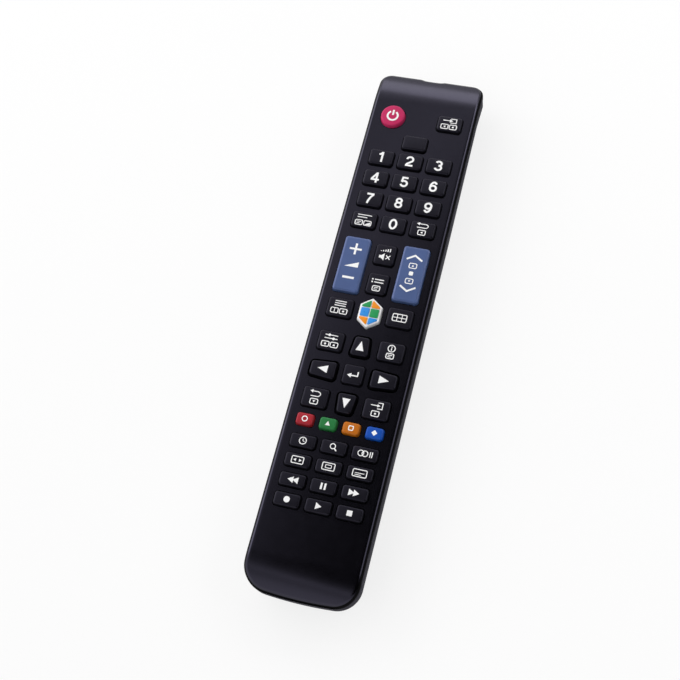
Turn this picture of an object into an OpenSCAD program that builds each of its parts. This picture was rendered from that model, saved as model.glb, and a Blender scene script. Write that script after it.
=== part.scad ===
// Slim handheld remote control lying on its back: +Y points to the emitter end, +Z out of the key face.
// The origin is under the middle of the case, on the surface that it lies on.

/* [Case] */
// Wall of both shells
wall = 1.8; // [1.4:0.1:2.4]
// Thickness of the key face
face_t = 2; // [1.5:0.1:3]
// Distance from the key face down to the seam between the shells
seam_drop = 6; // [4:0.5:7]
// Step at the seam, from the lower shell in to the cover
cover_inset = 0.1; // [0.05:0.05:0.6]
// Space from the outer key columns to the side of the case
side_margin = 4.9; // [4.4:0.1:8]
// Space from the emitter end to the power key's row
front_margin = 23; // [22:0.1:32]
// Space from the last key row to the rear end
rear_margin = 35.1; // [34:0.1:50]
// Corner radius at the emitter end, seen from above
front_r = 5; // [3.5:0.5:9]
// Corner radius at the rear end, seen from above
rear_r = 10; // [6:0.5:14]
// Radius of the bow of the rear edge
rear_bow_r = 160; // [100:5:400]
// Radius of the two long lower edges
belly_r = 9; // [6:0.5:10]
// Radius of the lower edge at the rear end
heel_r = 9; // [3:0.5:10]
// Radius of the lower edge at the emitter end
toe_r = 4; // [2:0.5:6]
// Height by which the underside rises towards the emitter end
toe_rise = 3; // [1:0.25:4]
// Length of that rise
toe_l = 74; // [40:1:100]
// Length over which the face curves down at the emitter end
front_curve_l = 16; // [10:0.5:17]
// Height by which the face drops there
front_drop = 3; // [1:0.25:4]
// Length over which the face curves down at the rear end
rear_curve_l = 15; // [10:0.5:20]
// Height by which the face drops there
rear_drop = 5; // [2:0.25:5.5]
// Rounding of the long edges of the face
edge_r = 2.2; // [0.4:0.1:2.4]
// Width of the scoop in the front edge, where the emitter looks out
scoop_w = 10; // [7:0.5:14]
// Depth of that scoop
scoop_depth = 0.7; // [0.3:0.1:1.2]
// Depth of the cover's lip inside the lower shell
lip_h = 2; // [1:0.25:3]
// Thickness of that lip
lip_t = 0.9; // [0.7:0.1:1.2]

/* [Keys] */
// Height of the keys above the face
key_rise = 1.6; // [1:0.1:3]
// Travel of a key
key_travel = 0.8; // [0.4:0.1:1.2]
// Gap round a key in the face
key_gap = 0.2; // [0.15:0.05:0.3]
// Corner radius of the keys, seen from above
key_r = 1.4; // [0.8:0.1:2.2]
// Rounding of the upper edges of the keys
key_edge_r = 0.7; // [0.3:0.1:0.9]
// Distance between the key columns
col_pitch = 12.2; // [12.1:0.1:16]
// Width of a key
key_w = 10.6; // [8:0.1:10.7]
// Diameter of the power key
power_d = 10.6; // [8:0.1:11]
// Length of the blank key
blank_h = 7; // [5:0.1:7.2]
// Length of a digit key
digit_h = 7.3; // [5:0.1:8]
// Length of the menu, guide, tools, info, return and exit keys
nav_h = 8.4; // [6:0.1:9.6]
// Width of the ok key
ok_w = 8.6; // [6:0.1:9]
// Width of an arrow key at its outer end
arrow_out_w = 6.2; // [4:0.1:7.4]
// Width of an arrow key at its inner end
arrow_in_w = 8; // [6:0.1:8.4]
// Gap round an arrow key in the face
arrow_gap = 0.7; // [0.3:0.05:0.8]
// Width of the keys between the rockers
mid_w = 8.8; // [7:0.1:10.5]
// Length of the keys between the rockers
mid_h = 9.2; // [6:0.1:10.5]
// Width of a rocker
rocker_w = 11; // [8:0.1:11.2]
// Length of a rocker
rocker_l = 24.6; // [18:0.1:26]
// Angle by which a rocker tips to each side
rocker_tip = 2.5; // [1:0.25:2.5]
// Width of the six-sided hub key
hub_w = 9.4; // [8:0.1:10.6]
// Length of the six-sided hub key
hub_h = 13; // [10:0.1:15]
// Width of a colour key
colour_w = 7.2; // [5:0.1:7.6]
// Length of a colour key
colour_h = 5.2; // [4:0.1:6]
// Distance between the colour keys
colour_pitch = 9.2; // [9:0.1:11]
// Length of a function key
function_h = 5.7; // [4:0.1:6]

/* [Key rows] */
// From the power row to the blank key
blank_step = 11.6; // [11:0.1:16]
// From the blank key to the first row of digits
digit_step = 8.9; // [8.8:0.1:14]
// Between the rows of digits
digit_pitch = 9.9; // [9.6:0.1:14]
// From the zero key to the middle of the rockers
rocker_step = 20.4; // [19:0.1:26]
// From the middle of the rockers to each key between them
mid_step = 6.5; // [6.2:0.1:7]
// From the middle of the rockers to the hub key
hub_step = 19.3; // [18.8:0.1:26]
// From the hub key to the row of the up key
nav_step = 14.6; // [13.6:0.1:20]
// Between the three rows round the ok key
nav_pitch = 12; // [10.6:0.1:16]
// From the last arrow row to the colour keys
colour_step = 9.3; // [9:0.1:14]
// From the colour keys to the first function row
function_step = 8.7; // [8:0.1:14]
// Between the function rows
function_pitch = 7.8; // [7.6:0.1:12]

/* [Inside] */
// Thickness of the circuit board
board_t = 1.2; // [0.8:0.1:1.6]
// Thickness of the flange that keeps a key under the face
flange_t = 0.6; // [0.4:0.05:0.9]
// Overhang of that flange
flange_out = 0.35; // [0.35:0.05:0.4]
// Diameter of the emitter
led_d = 4; // [3:0.1:4.5]
// Length of the emitter's straight part
led_l = 4.4; // [3:0.1:6]
// Side of the controller chip
chip_w = 10; // [6:0.5:16]
// Thickness of the controller chip
chip_t = 1.4; // [0.8:0.1:2]
// Diameter of the capacitor
cap_d = 5; // [4:0.5:8]
// Length of the capacitor
cap_l = 8; // [5:0.5:10]
// Diameter of the posts that carry the board
post_d = 3.5; // [2:0.5:5]

/* [Battery bay] */
// Diameter of a cell
cell_d = 10.3; // [9:0.1:12]
// Length of a cell with its nub
cell_l = 44.3; // [40:0.1:46]
// Diameter of the nub
nub_d = 3.8; // [3:0.1:5]
// Length of the nub
nub_l = 1; // [0.6:0.1:1.6]
// Play round a cell
cell_gap = 0.3; // [0.2:0.05:0.5]
// Walls and roof of the bay
bay_wall = 1.2; // [0.8:0.1:1.6]
// Thickness of the contact plates
plate_t = 0.5; // [0.3:0.1:0.8]
// Width of a contact plate
plate_w = 8; // [6:0.5:9]
// Height of a spring in use
spring_h = 4; // [3:0.25:5]
// Diameter of a spring at its foot
spring_d = 7; // [5:0.25:8]
// Diameter of the spring's wire
wire_d = 0.5; // [0.3:0.05:0.6]
// Turns of a spring
spring_turns = 3.5; // [2:0.5:4]
// Solid end behind the bay
bay_end = 5; // [4.5:0.5:8]
// Play between the door and the case
door_gap = 0.15; // [0.1:0.05:0.25]
// Reach of the door's tongues into the case
tongue_out = 0.9; // [0.6:0.1:1.2]
// Thickness of the door's tongues
tongue_t = 0.6; // [0.4:0.05:0.8]
// Width of the tab at the door's front
tab_w = 8; // [5:0.5:12]
// Reach of the tab
tab_l = 2.5; // [1.5:0.25:4]
// Width of a grip groove in the door
grip_w = 1.2; // [0.8:0.1:1.6]
// Depth of a grip groove
grip_depth = 0.4; // [0.2:0.05:0.5]
// Diameter of the shank of a case screw
screw_d = 2; // [1.6:0.1:2.6]
// Diameter of the head of a case screw
screw_head_d = 3.8; // [3.4:0.1:4.4]
// Height of that head
screw_head_h = 1.2; // [1:0.1:1.6]

/* [Hidden] */
$fn = 64;
eps = 0.01;
slip = 0.1;
lip_gap = 0.15;
press_gap = 0.1;
board_gap = 0.3;
flange_gap = 0.15;
far = 400;
past = 1;
trunnion_out = 0.7;
grip_count = 5;
mat_rim = 1;
boss_wall = 1.5;
screw_cover = 1;
cross_w = 0.4;
spring_taper = 0.4;
digit_rows = 4;
function_rows = 4;

// Heights, from the door up to the face
mat_t = flange_t + key_travel + press_gap;
cell_z = wall + cell_gap + cell_d / 2;
roof_z = wall + 2 * cell_gap + cell_d;
roof_top = roof_z + bay_wall;
board_z = roof_top + board_gap;
mat_z = board_z + board_t;
mat_top = mat_z + mat_t;
face_in = mat_top + slip;
case_h = face_in + face_t;
seam_z = case_h - seam_drop;
flange_z = mat_top - flange_t;
key_top = case_h + key_rise;

// Outline, worked out from the key field
digits_l = (digit_rows - 1) * digit_pitch;
functions_l = (function_rows - 1) * function_pitch;
field_l = blank_step + digit_step + digits_l + rocker_step + hub_step + nav_step
    + nav_pitch + nav_pitch + colour_step + function_step + functions_l;
case_l = front_margin + field_l + rear_margin;
case_w = 2 * col_pitch + key_w + 2 * side_margin;
front_y = case_l / 2;
rear_y = -case_l / 2;
front_curve_r = (front_curve_l * front_curve_l + front_drop * front_drop) / (2 * front_drop);
rear_curve_r = (rear_curve_l * rear_curve_l + rear_drop * rear_drop) / (2 * rear_drop);
scoop_r = (scoop_w * scoop_w / 4 + scoop_depth * scoop_depth) / (2 * scoop_depth);
least_r = 0.5;

// Key rows, counted from the emitter end
power_y = front_y - front_margin;
blank_y = power_y - blank_step;
digit_y = blank_y - digit_step;
zero_y = digit_y - digits_l;
rocker_y = zero_y - rocker_step;
hub_y = rocker_y - hub_step;
nav_y = hub_y - nav_step;
ok_y = nav_y - nav_pitch;
exit_y = ok_y - nav_pitch;
colour_y = exit_y - colour_step;
function_y = colour_y - function_step;
last_y = function_y - functions_l;

// Battery bay, measured from the rear end
cell_x = (cell_d + cell_gap) / 2;
bay_w = 2 * cell_d + 3 * cell_gap;
bay_out = bay_w / 2 + bay_wall;
bay_l = cell_l + spring_h + 2 * plate_t + cell_gap;
bay_rear = rear_y + bay_end;
bay_front = bay_rear + bay_l;
contact_gap = cell_gap / 2;
door_top = wall - slip;
tongue_z = (wall - tongue_t) / 2;
screw_y = bay_rear + bay_end + 2 * screw_head_d;
boss_d = screw_d + 2 * boss_wall;
pad_top = mat_z + slip;
head_z = roof_z + 2 * eps;
screw_top = case_h - screw_cover;
door_front = bay_front - door_gap;

// Reach of a flange under the face, past the key's outline, for a gap g in the face
function flange_reach(g) = g + flange_out - key_gap;

// Board, mat and what they carry
board_w = case_w - 2 * (wall + lip_gap + lip_t + 4 * slip);
board_front = front_y - front_curve_l / 2;
board_rear = last_y - function_h;
mat_margin = flange_reach(arrow_gap) + flange_gap + mat_rim;
mat_w = 2 * col_pitch + key_w + 2 * mat_margin;
mat_front = power_y + power_d / 2 + mat_margin;
mat_rear = last_y - function_h / 2 - mat_margin;
post_x = board_w / 2 - post_d;
post_ys = [board_rear + 2 * post_d, (board_front + board_rear) / 2, board_front - 2 * post_d];
led_tip = front_y - scoop_depth / 2;
led_foot = led_tip - led_d / 2 - led_l;
lead_w = 0.5;
lead_x = led_d / 4;
chip_y = rocker_y;
cap_y = nav_y;

black = "#1b1a1e";
shell_grey = "#232227";
rubber = "#131316";
steel = "#b9bcc2";
cell_tint = "#c8a24a";

// One key is [name, x, y, width, length, kind, colour], and an arrow key also has its heading
cols = [-col_pitch, 0, col_pitch];
function row3(names, y, length) = [
    for (c = [0:2]) [names[c], cols[c], y, key_w, length, "pad", rubber]
];
function digit_row(r) = row3([for (c = [1:3]) str("key_", 3 * r + c)], digit_y - r * digit_pitch, digit_h);
colour_names = ["key_red", "key_green", "key_orange", "key_blue"];
colour_tints = ["#b3262e", "#2c8a3f", "#c97c1c", "#1c4fb4"];
function colour_key(i) = [
    colour_names[i], (i - 1.5) * colour_pitch, colour_y, colour_w, colour_h, "pad", colour_tints[i]
];
KEYS = concat(
    [["key_power", -col_pitch, power_y, power_d, power_d, "round", "#d0315f"]],
    [["key_source", col_pitch, power_y, key_w, digit_h, "pad", rubber]],
    [["key_blank", 0, blank_y, key_w, blank_h, "pad", rubber]],
    digit_row(0), digit_row(1), digit_row(2),
    row3(["key_text", "key_0", "key_previous"], zero_y, digit_h),
    [["rocker_volume", -col_pitch, rocker_y, rocker_w, rocker_l, "rocker", "#5f6f9e"]],
    [["rocker_programme", col_pitch, rocker_y, rocker_w, rocker_l, "rocker", "#5f6f9e"]],
    [["key_mute", 0, rocker_y + mid_step, mid_w, mid_h, "pad", rubber]],
    [["key_list", 0, rocker_y - mid_step, mid_w, mid_h, "pad", rubber]],
    [["key_menu", -col_pitch, hub_y, key_w, nav_h, "pad", rubber]],
    [["key_hub", 0, hub_y, hub_w, hub_h, "hex", "white"]],
    [["key_guide", col_pitch, hub_y, key_w, nav_h, "pad", rubber]],
    [["key_tools", -col_pitch, nav_y, key_w, nav_h, "pad", rubber]],
    [["key_up", 0, nav_y, arrow_in_w, nav_h, "arrow", rubber, 90]],
    [["key_info", col_pitch, nav_y, key_w, nav_h, "pad", rubber]],
    [["key_left", -col_pitch, ok_y, key_w, arrow_in_w, "arrow", rubber, 180]],
    [["key_ok", 0, ok_y, ok_w, nav_h, "pad", rubber]],
    [["key_right", col_pitch, ok_y, key_w, arrow_in_w, "arrow", rubber, 0]],
    [["key_return", -col_pitch, exit_y, key_w, nav_h, "pad", rubber]],
    [["key_down", 0, exit_y, arrow_in_w, nav_h, "arrow", rubber, -90]],
    [["key_exit", col_pitch, exit_y, key_w, nav_h, "pad", rubber]],
    [for (i = [0:3]) colour_key(i)],
    row3(["key_timer", "key_search", "key_dual"], function_y, function_h),
    row3(["key_zoom", "key_size", "key_subtitle"], function_y - function_pitch, function_h),
    row3(["key_rewind", "key_pause", "key_forward"], function_y - 2 * function_pitch, function_h),
    row3(["key_record", "key_play", "key_stop"], last_y, function_h)
);

// Rectangle with round corners
module round_rect(w, h, r) {
    square([w - 2 * r, h], center = true);
    square([w, h - 2 * r], center = true);
    for (x = [-1, 1], y = [-1, 1]) translate([x * (w / 2 - r), y * (h / 2 - r)]) circle(r);
}

// Six-sided outline with a point to the front and the rear
module hexagon(w, h) {
    polygon([[0, h / 2], [w / 2, h / 4], [w / 2, -h / 4], [0, -h / 2], [-w / 2, -h / 4], [-w / 2, h / 4]]);
}

// Outline with these corners, each cut off at the distance c
module cut_outline(corners, c) {
    n = len(corners);
    function toward(i, j) = (corners[j % n] - corners[i]) / norm(corners[j % n] - corners[i]);
    polygon([for (i = [0:n - 1]) for (j = [i + n - 1, i + 1]) corners[i] + c * toward(i, j)]);
}

// Outline of an arrow key of length l, narrower at its outer end, which points along X, grown by g
module arrow_plan(l, g) {
    x = l / 2 + g;
    slope = (arrow_in_w - arrow_out_w) / 2 / l;
    lean = g * norm([1, slope]);
    y_in = arrow_in_w / 2 + lean + slope * g;
    y_out = arrow_out_w / 2 + lean - slope * g;
    cut_outline([[-x, -y_in], [x, -y_out], [x, y_out], [-x, y_in]], (key_r + g) / 2);
}

// Outline of the case from above, moved in by d all round
module plan(d) {
    hw = case_w / 2 - d;
    rf = max(front_r - d, least_r);
    rr = max(rear_r - d, least_r);
    intersection() {
        union() {
            translate([-hw, rear_y + d + rr]) square([2 * hw, case_l - 2 * d - rf - rr]);
            translate([rf - hw, 0]) square([2 * (hw - rf), front_y - d]);
            translate([rr - hw, rear_y + d]) square([2 * (hw - rr), -rear_y - d]);
            for (s = [-1, 1]) {
                translate([s * (hw - rf), front_y - d - rf]) circle(rf);
                translate([s * (hw - rr), rear_y + d + rr]) circle(rr);
            }
        }
        union() {
            translate([0, rear_y + rear_bow_r]) circle(rear_bow_r - d);
            translate([-hw, 0]) square([2 * hw, front_y]);
        }
    }
}

// Outline of the case from the side, moved in by top and by under; its length is along X, its height along Y
module side_profile(top, under) {
    toe = [[front_y - toe_l, under], [front_y + far, under + toe_rise * (toe_l + far) / toe_l]];
    difference() {
        union() {
            translate([rear_y + rear_curve_l, under])
                square([case_l - front_curve_l - rear_curve_l, case_h - top - under]);
            intersection() {
                translate([front_y - front_curve_l, case_h - front_curve_r]) circle(front_curve_r - top);
                translate([front_y - front_curve_l - eps, under]) square([front_curve_l + eps, case_h]);
            }
            intersection() {
                translate([rear_y + rear_curve_l, case_h - rear_curve_r]) circle(rear_curve_r - top);
                translate([rear_y, under]) square([rear_curve_l + eps, case_h]);
            }
        }
        polygon([toe[0], toe[1], [front_y + far, -far], [front_y - toe_l, -far]]);
        translate([rear_y, under]) corner_cut(heel_r);
        translate([front_y, under + toe_rise]) mirror([1, 0]) corner_cut(toe_r);
    }
}

// What a rounding of radius r takes off a square corner at the origin
module corner_cut(r) {
    difference() {
        translate([-r, -r]) square(2 * r);
        translate([r, r]) circle(r);
        translate([r, 0]) square(2 * r);
        translate([0, r]) square(2 * r);
    }
}

// Block whose lower long edges are round, moved in by d
module belly_section(d) {
    hw = case_w / 2 - d;
    r = belly_r - d;
    translate([-hw, d + r]) square([2 * hw, case_h]);
    translate([r - hw, d]) square([2 * (hw - r), case_h]);
    for (s = [-1, 1]) translate([s * (hw - r), d + r]) circle(r);
}

// Block of width w from z0 to z1 whose upper edges are round
module arch(w, z0, z1, r) {
    translate([-w / 2, z0]) square([w, z1 - z0 - r]);
    translate([r - w / 2, z0]) square([w - 2 * r, z1 - z0]);
    for (s = [-1, 1]) translate([s * (w / 2 - r), z1 - r]) circle(r);
}

// Shape given in width and height, drawn out along Y
module along_y(l) {
    rotate([90, 0, 0]) linear_extrude(l, center = true) children();
}

// Shape given in length and height, drawn out along X
module along_x(w) {
    rotate([90, 0, 90]) linear_extrude(w, center = true) children();
}

// Box from two opposite corners
module box(low, high) {
    translate(low) cube(high - low);
}

// Both places of the case screws, at height z
module at_screws(z) {
    for (s = [-1, 1]) translate([s * cell_x, screw_y, z]) children();
}

// Outer form of the lower shell up to height z, moved in by d
module lower_form(d, z) {
    intersection() {
        linear_extrude(z) plan(d);
        along_y(2 * case_l) belly_section(d);
        along_x(2 * case_w) side_profile(0, d);
    }
}

// Way of the emitter through the front wall
module led_bore() {
    translate([0, led_foot - slip, seam_z]) rotate([-90, 0, 0]) cylinder(d = led_d + 2 * slip, h = far);
}

// Scoop in the front edge
module front_scoop() {
    translate([0, front_y - scoop_depth + scoop_r, 0]) cylinder(r = scoop_r, h = case_h + key_rise);
}

// Gap round a key in the face, and the length of an arrow key along its heading
function face_gap(k) = k[5] == "arrow" ? arrow_gap : key_gap;
function arrow_l(k) = k[7] % 180 == 0 ? k[3] : k[4];

// Outline of a key from above, grown by g
module key_plan(k, g) {
    if (k[5] == "round") circle(d = k[3] + 2 * g);
    if (k[5] == "hex") hexagon(k[3] + 2 * g, k[4] + 2 * g * k[4] / k[3]);
    if (k[5] == "arrow") rotate(k[7]) arrow_plan(arrow_l(k), g);
    if (k[5] == "pad" || k[5] == "rocker") round_rect(k[3] + 2 * g, k[4] + 2 * g, key_r + g);
}

// Aperture of a key in the face; a rocker needs more length as it tips
module key_aperture(k) {
    tip = k[5] == "rocker" ? (key_top - flange_z) * sin(rocker_tip) / 2 : 0;
    translate([k[1], k[2], face_in - eps]) linear_extrude(case_h) {
        for (s = [-1, 1]) translate([0, s * tip]) key_plan(k, face_gap(k));
    }
}

// Hole of a key in the mat
module mat_hole(k) {
    g = k[5] == "rocker" ? key_gap : flange_reach(face_gap(k)) + flange_gap;
    translate([k[1], k[2], mat_z - eps]) linear_extrude(mat_t + 2 * eps) key_plan(k, g);
    if (k[5] == "rocker") translate([k[1], k[2], flange_z - slip]) trunnion_slot(k);
}

// Slot in the mat that carries a rocker's trunnions
module trunnion_slot(k) {
    half = k[3] / 2 + trunnion_out + slip;
    box([-half, -flange_t, 0], [half, flange_t, mat_t]);
}

module top_cover() {
    color(black) difference() {
        union() {
            difference() {
                intersection() {
                    linear_extrude(case_h) plan(cover_inset);
                    along_y(2 * case_l) arch(case_w - 2 * cover_inset, seam_z, case_h, edge_r);
                    along_x(2 * case_w) side_profile(0, 0);
                }
                intersection() {
                    linear_extrude(case_h) plan(cover_inset + wall);
                    along_x(2 * case_w) side_profile(face_t, 0);
                }
            }
            intersection() {
                translate([0, 0, seam_z - lip_h]) linear_extrude(2 * lip_h) difference() {
                    plan(wall + lip_gap);
                    plan(wall + lip_gap + lip_t);
                }
                along_x(2 * case_w) side_profile(face_t / 2, 0);
            }
            at_screws(pad_top) cylinder(d = boss_d, h = face_in + eps - pad_top);
        }
        for (k = KEYS) key_aperture(k);
        at_screws(0) cylinder(d = screw_d + slip, h = screw_top + slip);
        led_bore();
        front_scoop();
    }
}

module bottom_cover() {
    color(shell_grey) difference() {
        union() {
            difference() {
                lower_form(0, seam_z);
                lower_form(wall, case_h);
            }
            intersection() {
                lower_form(wall / 2, case_h);
                union() {
                    box([-bay_out, bay_rear - bay_wall, 0], [bay_out, bay_front + bay_wall, roof_top]);
                    box([-bay_out, rear_y, 0], [bay_out, bay_rear, seam_z - lip_h - slip]);
                    for (x = [-post_x, post_x], y = post_ys)
                        translate([x, y, 0]) cylinder(d = post_d, h = board_z);
                    at_screws(roof_z) cylinder(d = boss_d, h = pad_top - roof_z);
                }
            }
        }
        box([-bay_w / 2, bay_rear, -past], [bay_w / 2, bay_front, roof_z]);
        box([-bay_w / 2, rear_y - past, -past], [bay_w / 2, bay_front, wall]);
        for (s = [-1, 1]) translate([s * bay_w / 2, 0, tongue_z - door_gap]) door_groove();
        box([-tab_w / 2 - door_gap, bay_front - past, tongue_z - door_gap],
            [tab_w / 2 + door_gap, bay_front + tab_l + door_gap, door_top + door_gap]);
        at_screws(roof_z - past) cylinder(d = screw_head_d + 4 * slip, h = past + screw_head_h + 2 * eps);
        at_screws(roof_z - past) cylinder(d = screw_d + 2 * slip, h = case_h);
        for (s = [-1, 1]) plate_slot(s);
        led_bore();
        front_scoop();
    }
}

// Groove for one of the door's tongues, open to the rear
module door_groove() {
    translate([-tongue_out - door_gap, rear_y - past, 0])
        cube([2 * (tongue_out + door_gap), bay_front - rear_y + past, tongue_t + 2 * door_gap]);
}

// Slot in the bay's roof for the tab of a front contact plate
module plate_slot(s) {
    translate([s * cell_x - plate_w / 4 - slip, bay_front - plate_t - slip, roof_z - eps])
        cube([plate_w / 2 + 2 * slip, plate_t + slip + eps, bay_wall + 2 * eps]);
}

module battery_door() {
    half = bay_w / 2 - door_gap;
    reach = half + tongue_out;
    color(shell_grey) difference() {
        intersection() {
            lower_form(0, door_top);
            union() {
                box([-half, rear_y, 0], [half, door_front, door_top]);
                box([-reach, rear_y, tongue_z], [reach, door_front, tongue_z + tongue_t]);
                box([-tab_w / 2, bay_front - tab_l, tongue_z], [tab_w / 2, bay_front + tab_l, door_top]);
            }
        }
        for (i = [0:grip_count - 1]) translate([0, bay_rear + bay_end + 2 * i * grip_w, 0])
            box([-bay_w / 4, 0, -past], [bay_w / 4, grip_w, grip_depth]);
    }
}

module keypad_mat() {
    color(rubber) difference() {
        translate([0, (mat_front + mat_rear) / 2, mat_z]) linear_extrude(mat_t)
            round_rect(mat_w, mat_front - mat_rear, key_r);
        for (k = KEYS) mat_hole(k);
    }
}

module circuit_board() {
    color("#2f6b3c") translate([0, (board_front + board_rear) / 2, board_z])
        linear_extrude(board_t) round_rect(board_w, board_front - board_rear, front_r);
}

module controller_chip() {
    color("#202124") translate([0, chip_y, board_z - chip_t])
        box([-chip_w / 2, -chip_w / 2, 0], [chip_w / 2, chip_w / 2, chip_t]);
}

module capacitor() {
    color("#30405c") translate([0, cap_y, board_z - cap_l]) cylinder(d = cap_d, h = cap_l);
}

module ir_led() {
    r = led_d / 2;
    color("#3a2a4a") {
        translate([0, led_foot, seam_z]) rotate([-90, 0, 0]) rotate_extrude() {
            square([r, led_l]);
            intersection() {
                translate([0, led_l]) circle(r);
                translate([0, led_l - eps]) square(2 * r);
            }
        }
        for (s = [-1, 1]) translate([s * lead_x - lead_w / 2, board_front - past, seam_z - lead_w / 2]) {
            cube([lead_w, led_foot - board_front + past + eps, lead_w]);
            cube([lead_w, lead_w, board_z - seam_z + lead_w / 2]);
        }
    }
}

// Cell with its flat end at the origin and its nub along +Y
module cell() {
    rotate([-90, 0, 0]) {
        cylinder(d = cell_d, h = cell_l - nub_l);
        translate([0, 0, cell_l - nub_l - eps]) cylinder(d = nub_d, h = nub_l + eps);
    }
}

module cell_left() {
    flat_end = bay_rear + plate_t + contact_gap + cell_l;
    color(cell_tint) translate([-cell_x, flat_end, cell_z]) mirror([0, 1, 0]) cell();
}

module cell_right() {
    flat_end = bay_front - plate_t - contact_gap - cell_l;
    color(cell_tint) translate([cell_x, flat_end, cell_z]) cell();
}

// Points of the wire's section at the share u of a spring that narrows from its foot to its tip
wire_sides = 6;
turn_rings = 8;
rings = round(spring_turns * turn_rings);
coil_h = spring_h - 2 * wire_d - slip;
function coil_r(u) = (spring_d - wire_d) / 2 * (1 - spring_taper * u);
function coil_point(u, a) =
    let (t = 360 * spring_turns * u, r = coil_r(u) + wire_d / 2 * cos(a))
    [r * cos(t), r * sin(t), wire_d + coil_h * u + wire_d / 2 * sin(a)];

// Least gap between two points of the wire that are half a turn or more apart
function coil_axis(i) = (coil_point(i / rings, 0) + coil_point(i / rings, 180)) / 2;
half_turn = turn_rings / 2;
coil_gaps = [for (i = [0:rings - half_turn], j = [i + half_turn:rings]) norm(coil_axis(j) - coil_axis(i))];
spring_gap = min(coil_gaps) - wire_d;
echo(spring_gap = spring_gap);

// Conical wire spring with its foot at the origin, along +Z
module spring() {
    points = [for (i = [0:rings], j = [0:wire_sides - 1]) coil_point(i / rings, 360 * j / wire_sides)];
    function at(i, j) = i * wire_sides + (j % wire_sides);
    left = [for (i = [0:rings - 1], j = [0:wire_sides - 1]) [at(i, j), at(i + 1, j), at(i, j + 1)]];
    right = [for (i = [0:rings - 1], j = [0:wire_sides - 1]) [at(i, j + 1), at(i + 1, j), at(i + 1, j + 1)]];
    foot = [for (j = [1:wire_sides - 2]) [at(0, 0), at(0, j), at(0, j + 1)]];
    tip = [for (j = [1:wire_sides - 2]) [at(rings, 0), at(rings, j + 1), at(rings, j)]];
    polyhedron(points, concat(left, right, foot, tip));
}

module contact_springs() {
    color(steel) {
        translate([-cell_x, bay_front - plate_t, cell_z]) rotate([90, 0, 0]) spring();
        translate([cell_x, bay_rear + plate_t, cell_z]) rotate([-90, 0, 0]) spring();
    }
}

module contact_plates() {
    low = cell_z - plate_w / 2;
    high = cell_z + plate_w / 2;
    color(steel) {
        for (s = [-1, 1]) translate([s * cell_x, bay_front - plate_t, 0]) {
            translate([-plate_w / 2, 0, low]) cube([plate_w, plate_t, high - low]);
            translate([-plate_w / 4, 0, low]) cube([plate_w / 2, plate_t, board_z - low]);
        }
        box([-cell_x - plate_w / 2, bay_rear, low], [cell_x + plate_w / 2, bay_rear + plate_t, high]);
    }
}

module case_screws() {
    color(steel) at_screws(head_z) difference() {
        union() {
            cylinder(d = screw_head_d, h = screw_head_h);
            cylinder(d = screw_d, h = screw_top - head_z);
        }
        for (a = [0, 90]) rotate(a)
            box([-screw_head_d / 3, -cross_w / 2, -past], [screw_head_d / 3, cross_w / 2, screw_head_h / 2]);
    }
}

// Pad with round upper edges, from the flange up
module key_cap(w, h) {
    intersection() {
        translate([0, 0, flange_z]) linear_extrude(key_top - flange_z) round_rect(w, h, key_r);
        along_y(2 * h) arch(w, flange_z, key_top, key_edge_r);
        along_x(2 * w) arch(h, flange_z, key_top, key_edge_r);
    }
}

// Round key with a round upper edge
module round_cap(d) {
    rotate_extrude() {
        translate([0, flange_z]) square([d / 2, key_top - flange_z - key_edge_r]);
        translate([0, flange_z]) square([d / 2 - key_edge_r, key_top - flange_z]);
        translate([d / 2 - key_edge_r, key_top - key_edge_r]) circle(key_edge_r);
    }
}

// Six-sided key with a raised panel inside its rim
module hex_cap(w, h) {
    rim = key_edge_r;
    translate([0, 0, flange_z]) linear_extrude(key_top - flange_z - rim / 2) hexagon(w, h);
    translate([0, 0, flange_z]) linear_extrude(key_top - flange_z)
        hexagon(w - 2 * rim, h - 2 * rim * h / w);
}

// Arrow key with a raised panel inside its rim
module arrow_cap(k) {
    rim = key_edge_r / 2;
    translate([0, 0, flange_z]) linear_extrude(key_top - flange_z - rim) key_plan(k, 0);
    translate([0, 0, flange_z]) linear_extrude(key_top - flange_z) key_plan(k, -rim);
}

module key(k) {
    color(k[6]) translate([k[1], k[2], 0]) {
        if (k[5] == "round") round_cap(k[3]);
        if (k[5] == "hex") hex_cap(k[3], k[4]);
        if (k[5] == "arrow") arrow_cap(k);
        if (k[5] == "pad" || k[5] == "rocker") key_cap(k[3], k[4]);
        if (k[5] != "rocker") translate([0, 0, flange_z]) linear_extrude(flange_t)
            key_plan(k, flange_reach(face_gap(k)));
        if (k[5] == "rocker") translate([-k[3] / 2 - trunnion_out, 0, flange_z + flange_t / 2])
            rotate([0, 90, 0]) cylinder(d = flange_t, h = k[3] + 2 * trunnion_out);
    }
}

top_cover();
bottom_cover();
battery_door();
keypad_mat();
circuit_board();
controller_chip();
capacitor();
ir_led();
cell_left();
cell_right();
contact_springs();
contact_plates();
case_screws();
for (k = KEYS) key(k);
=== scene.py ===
import math

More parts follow.
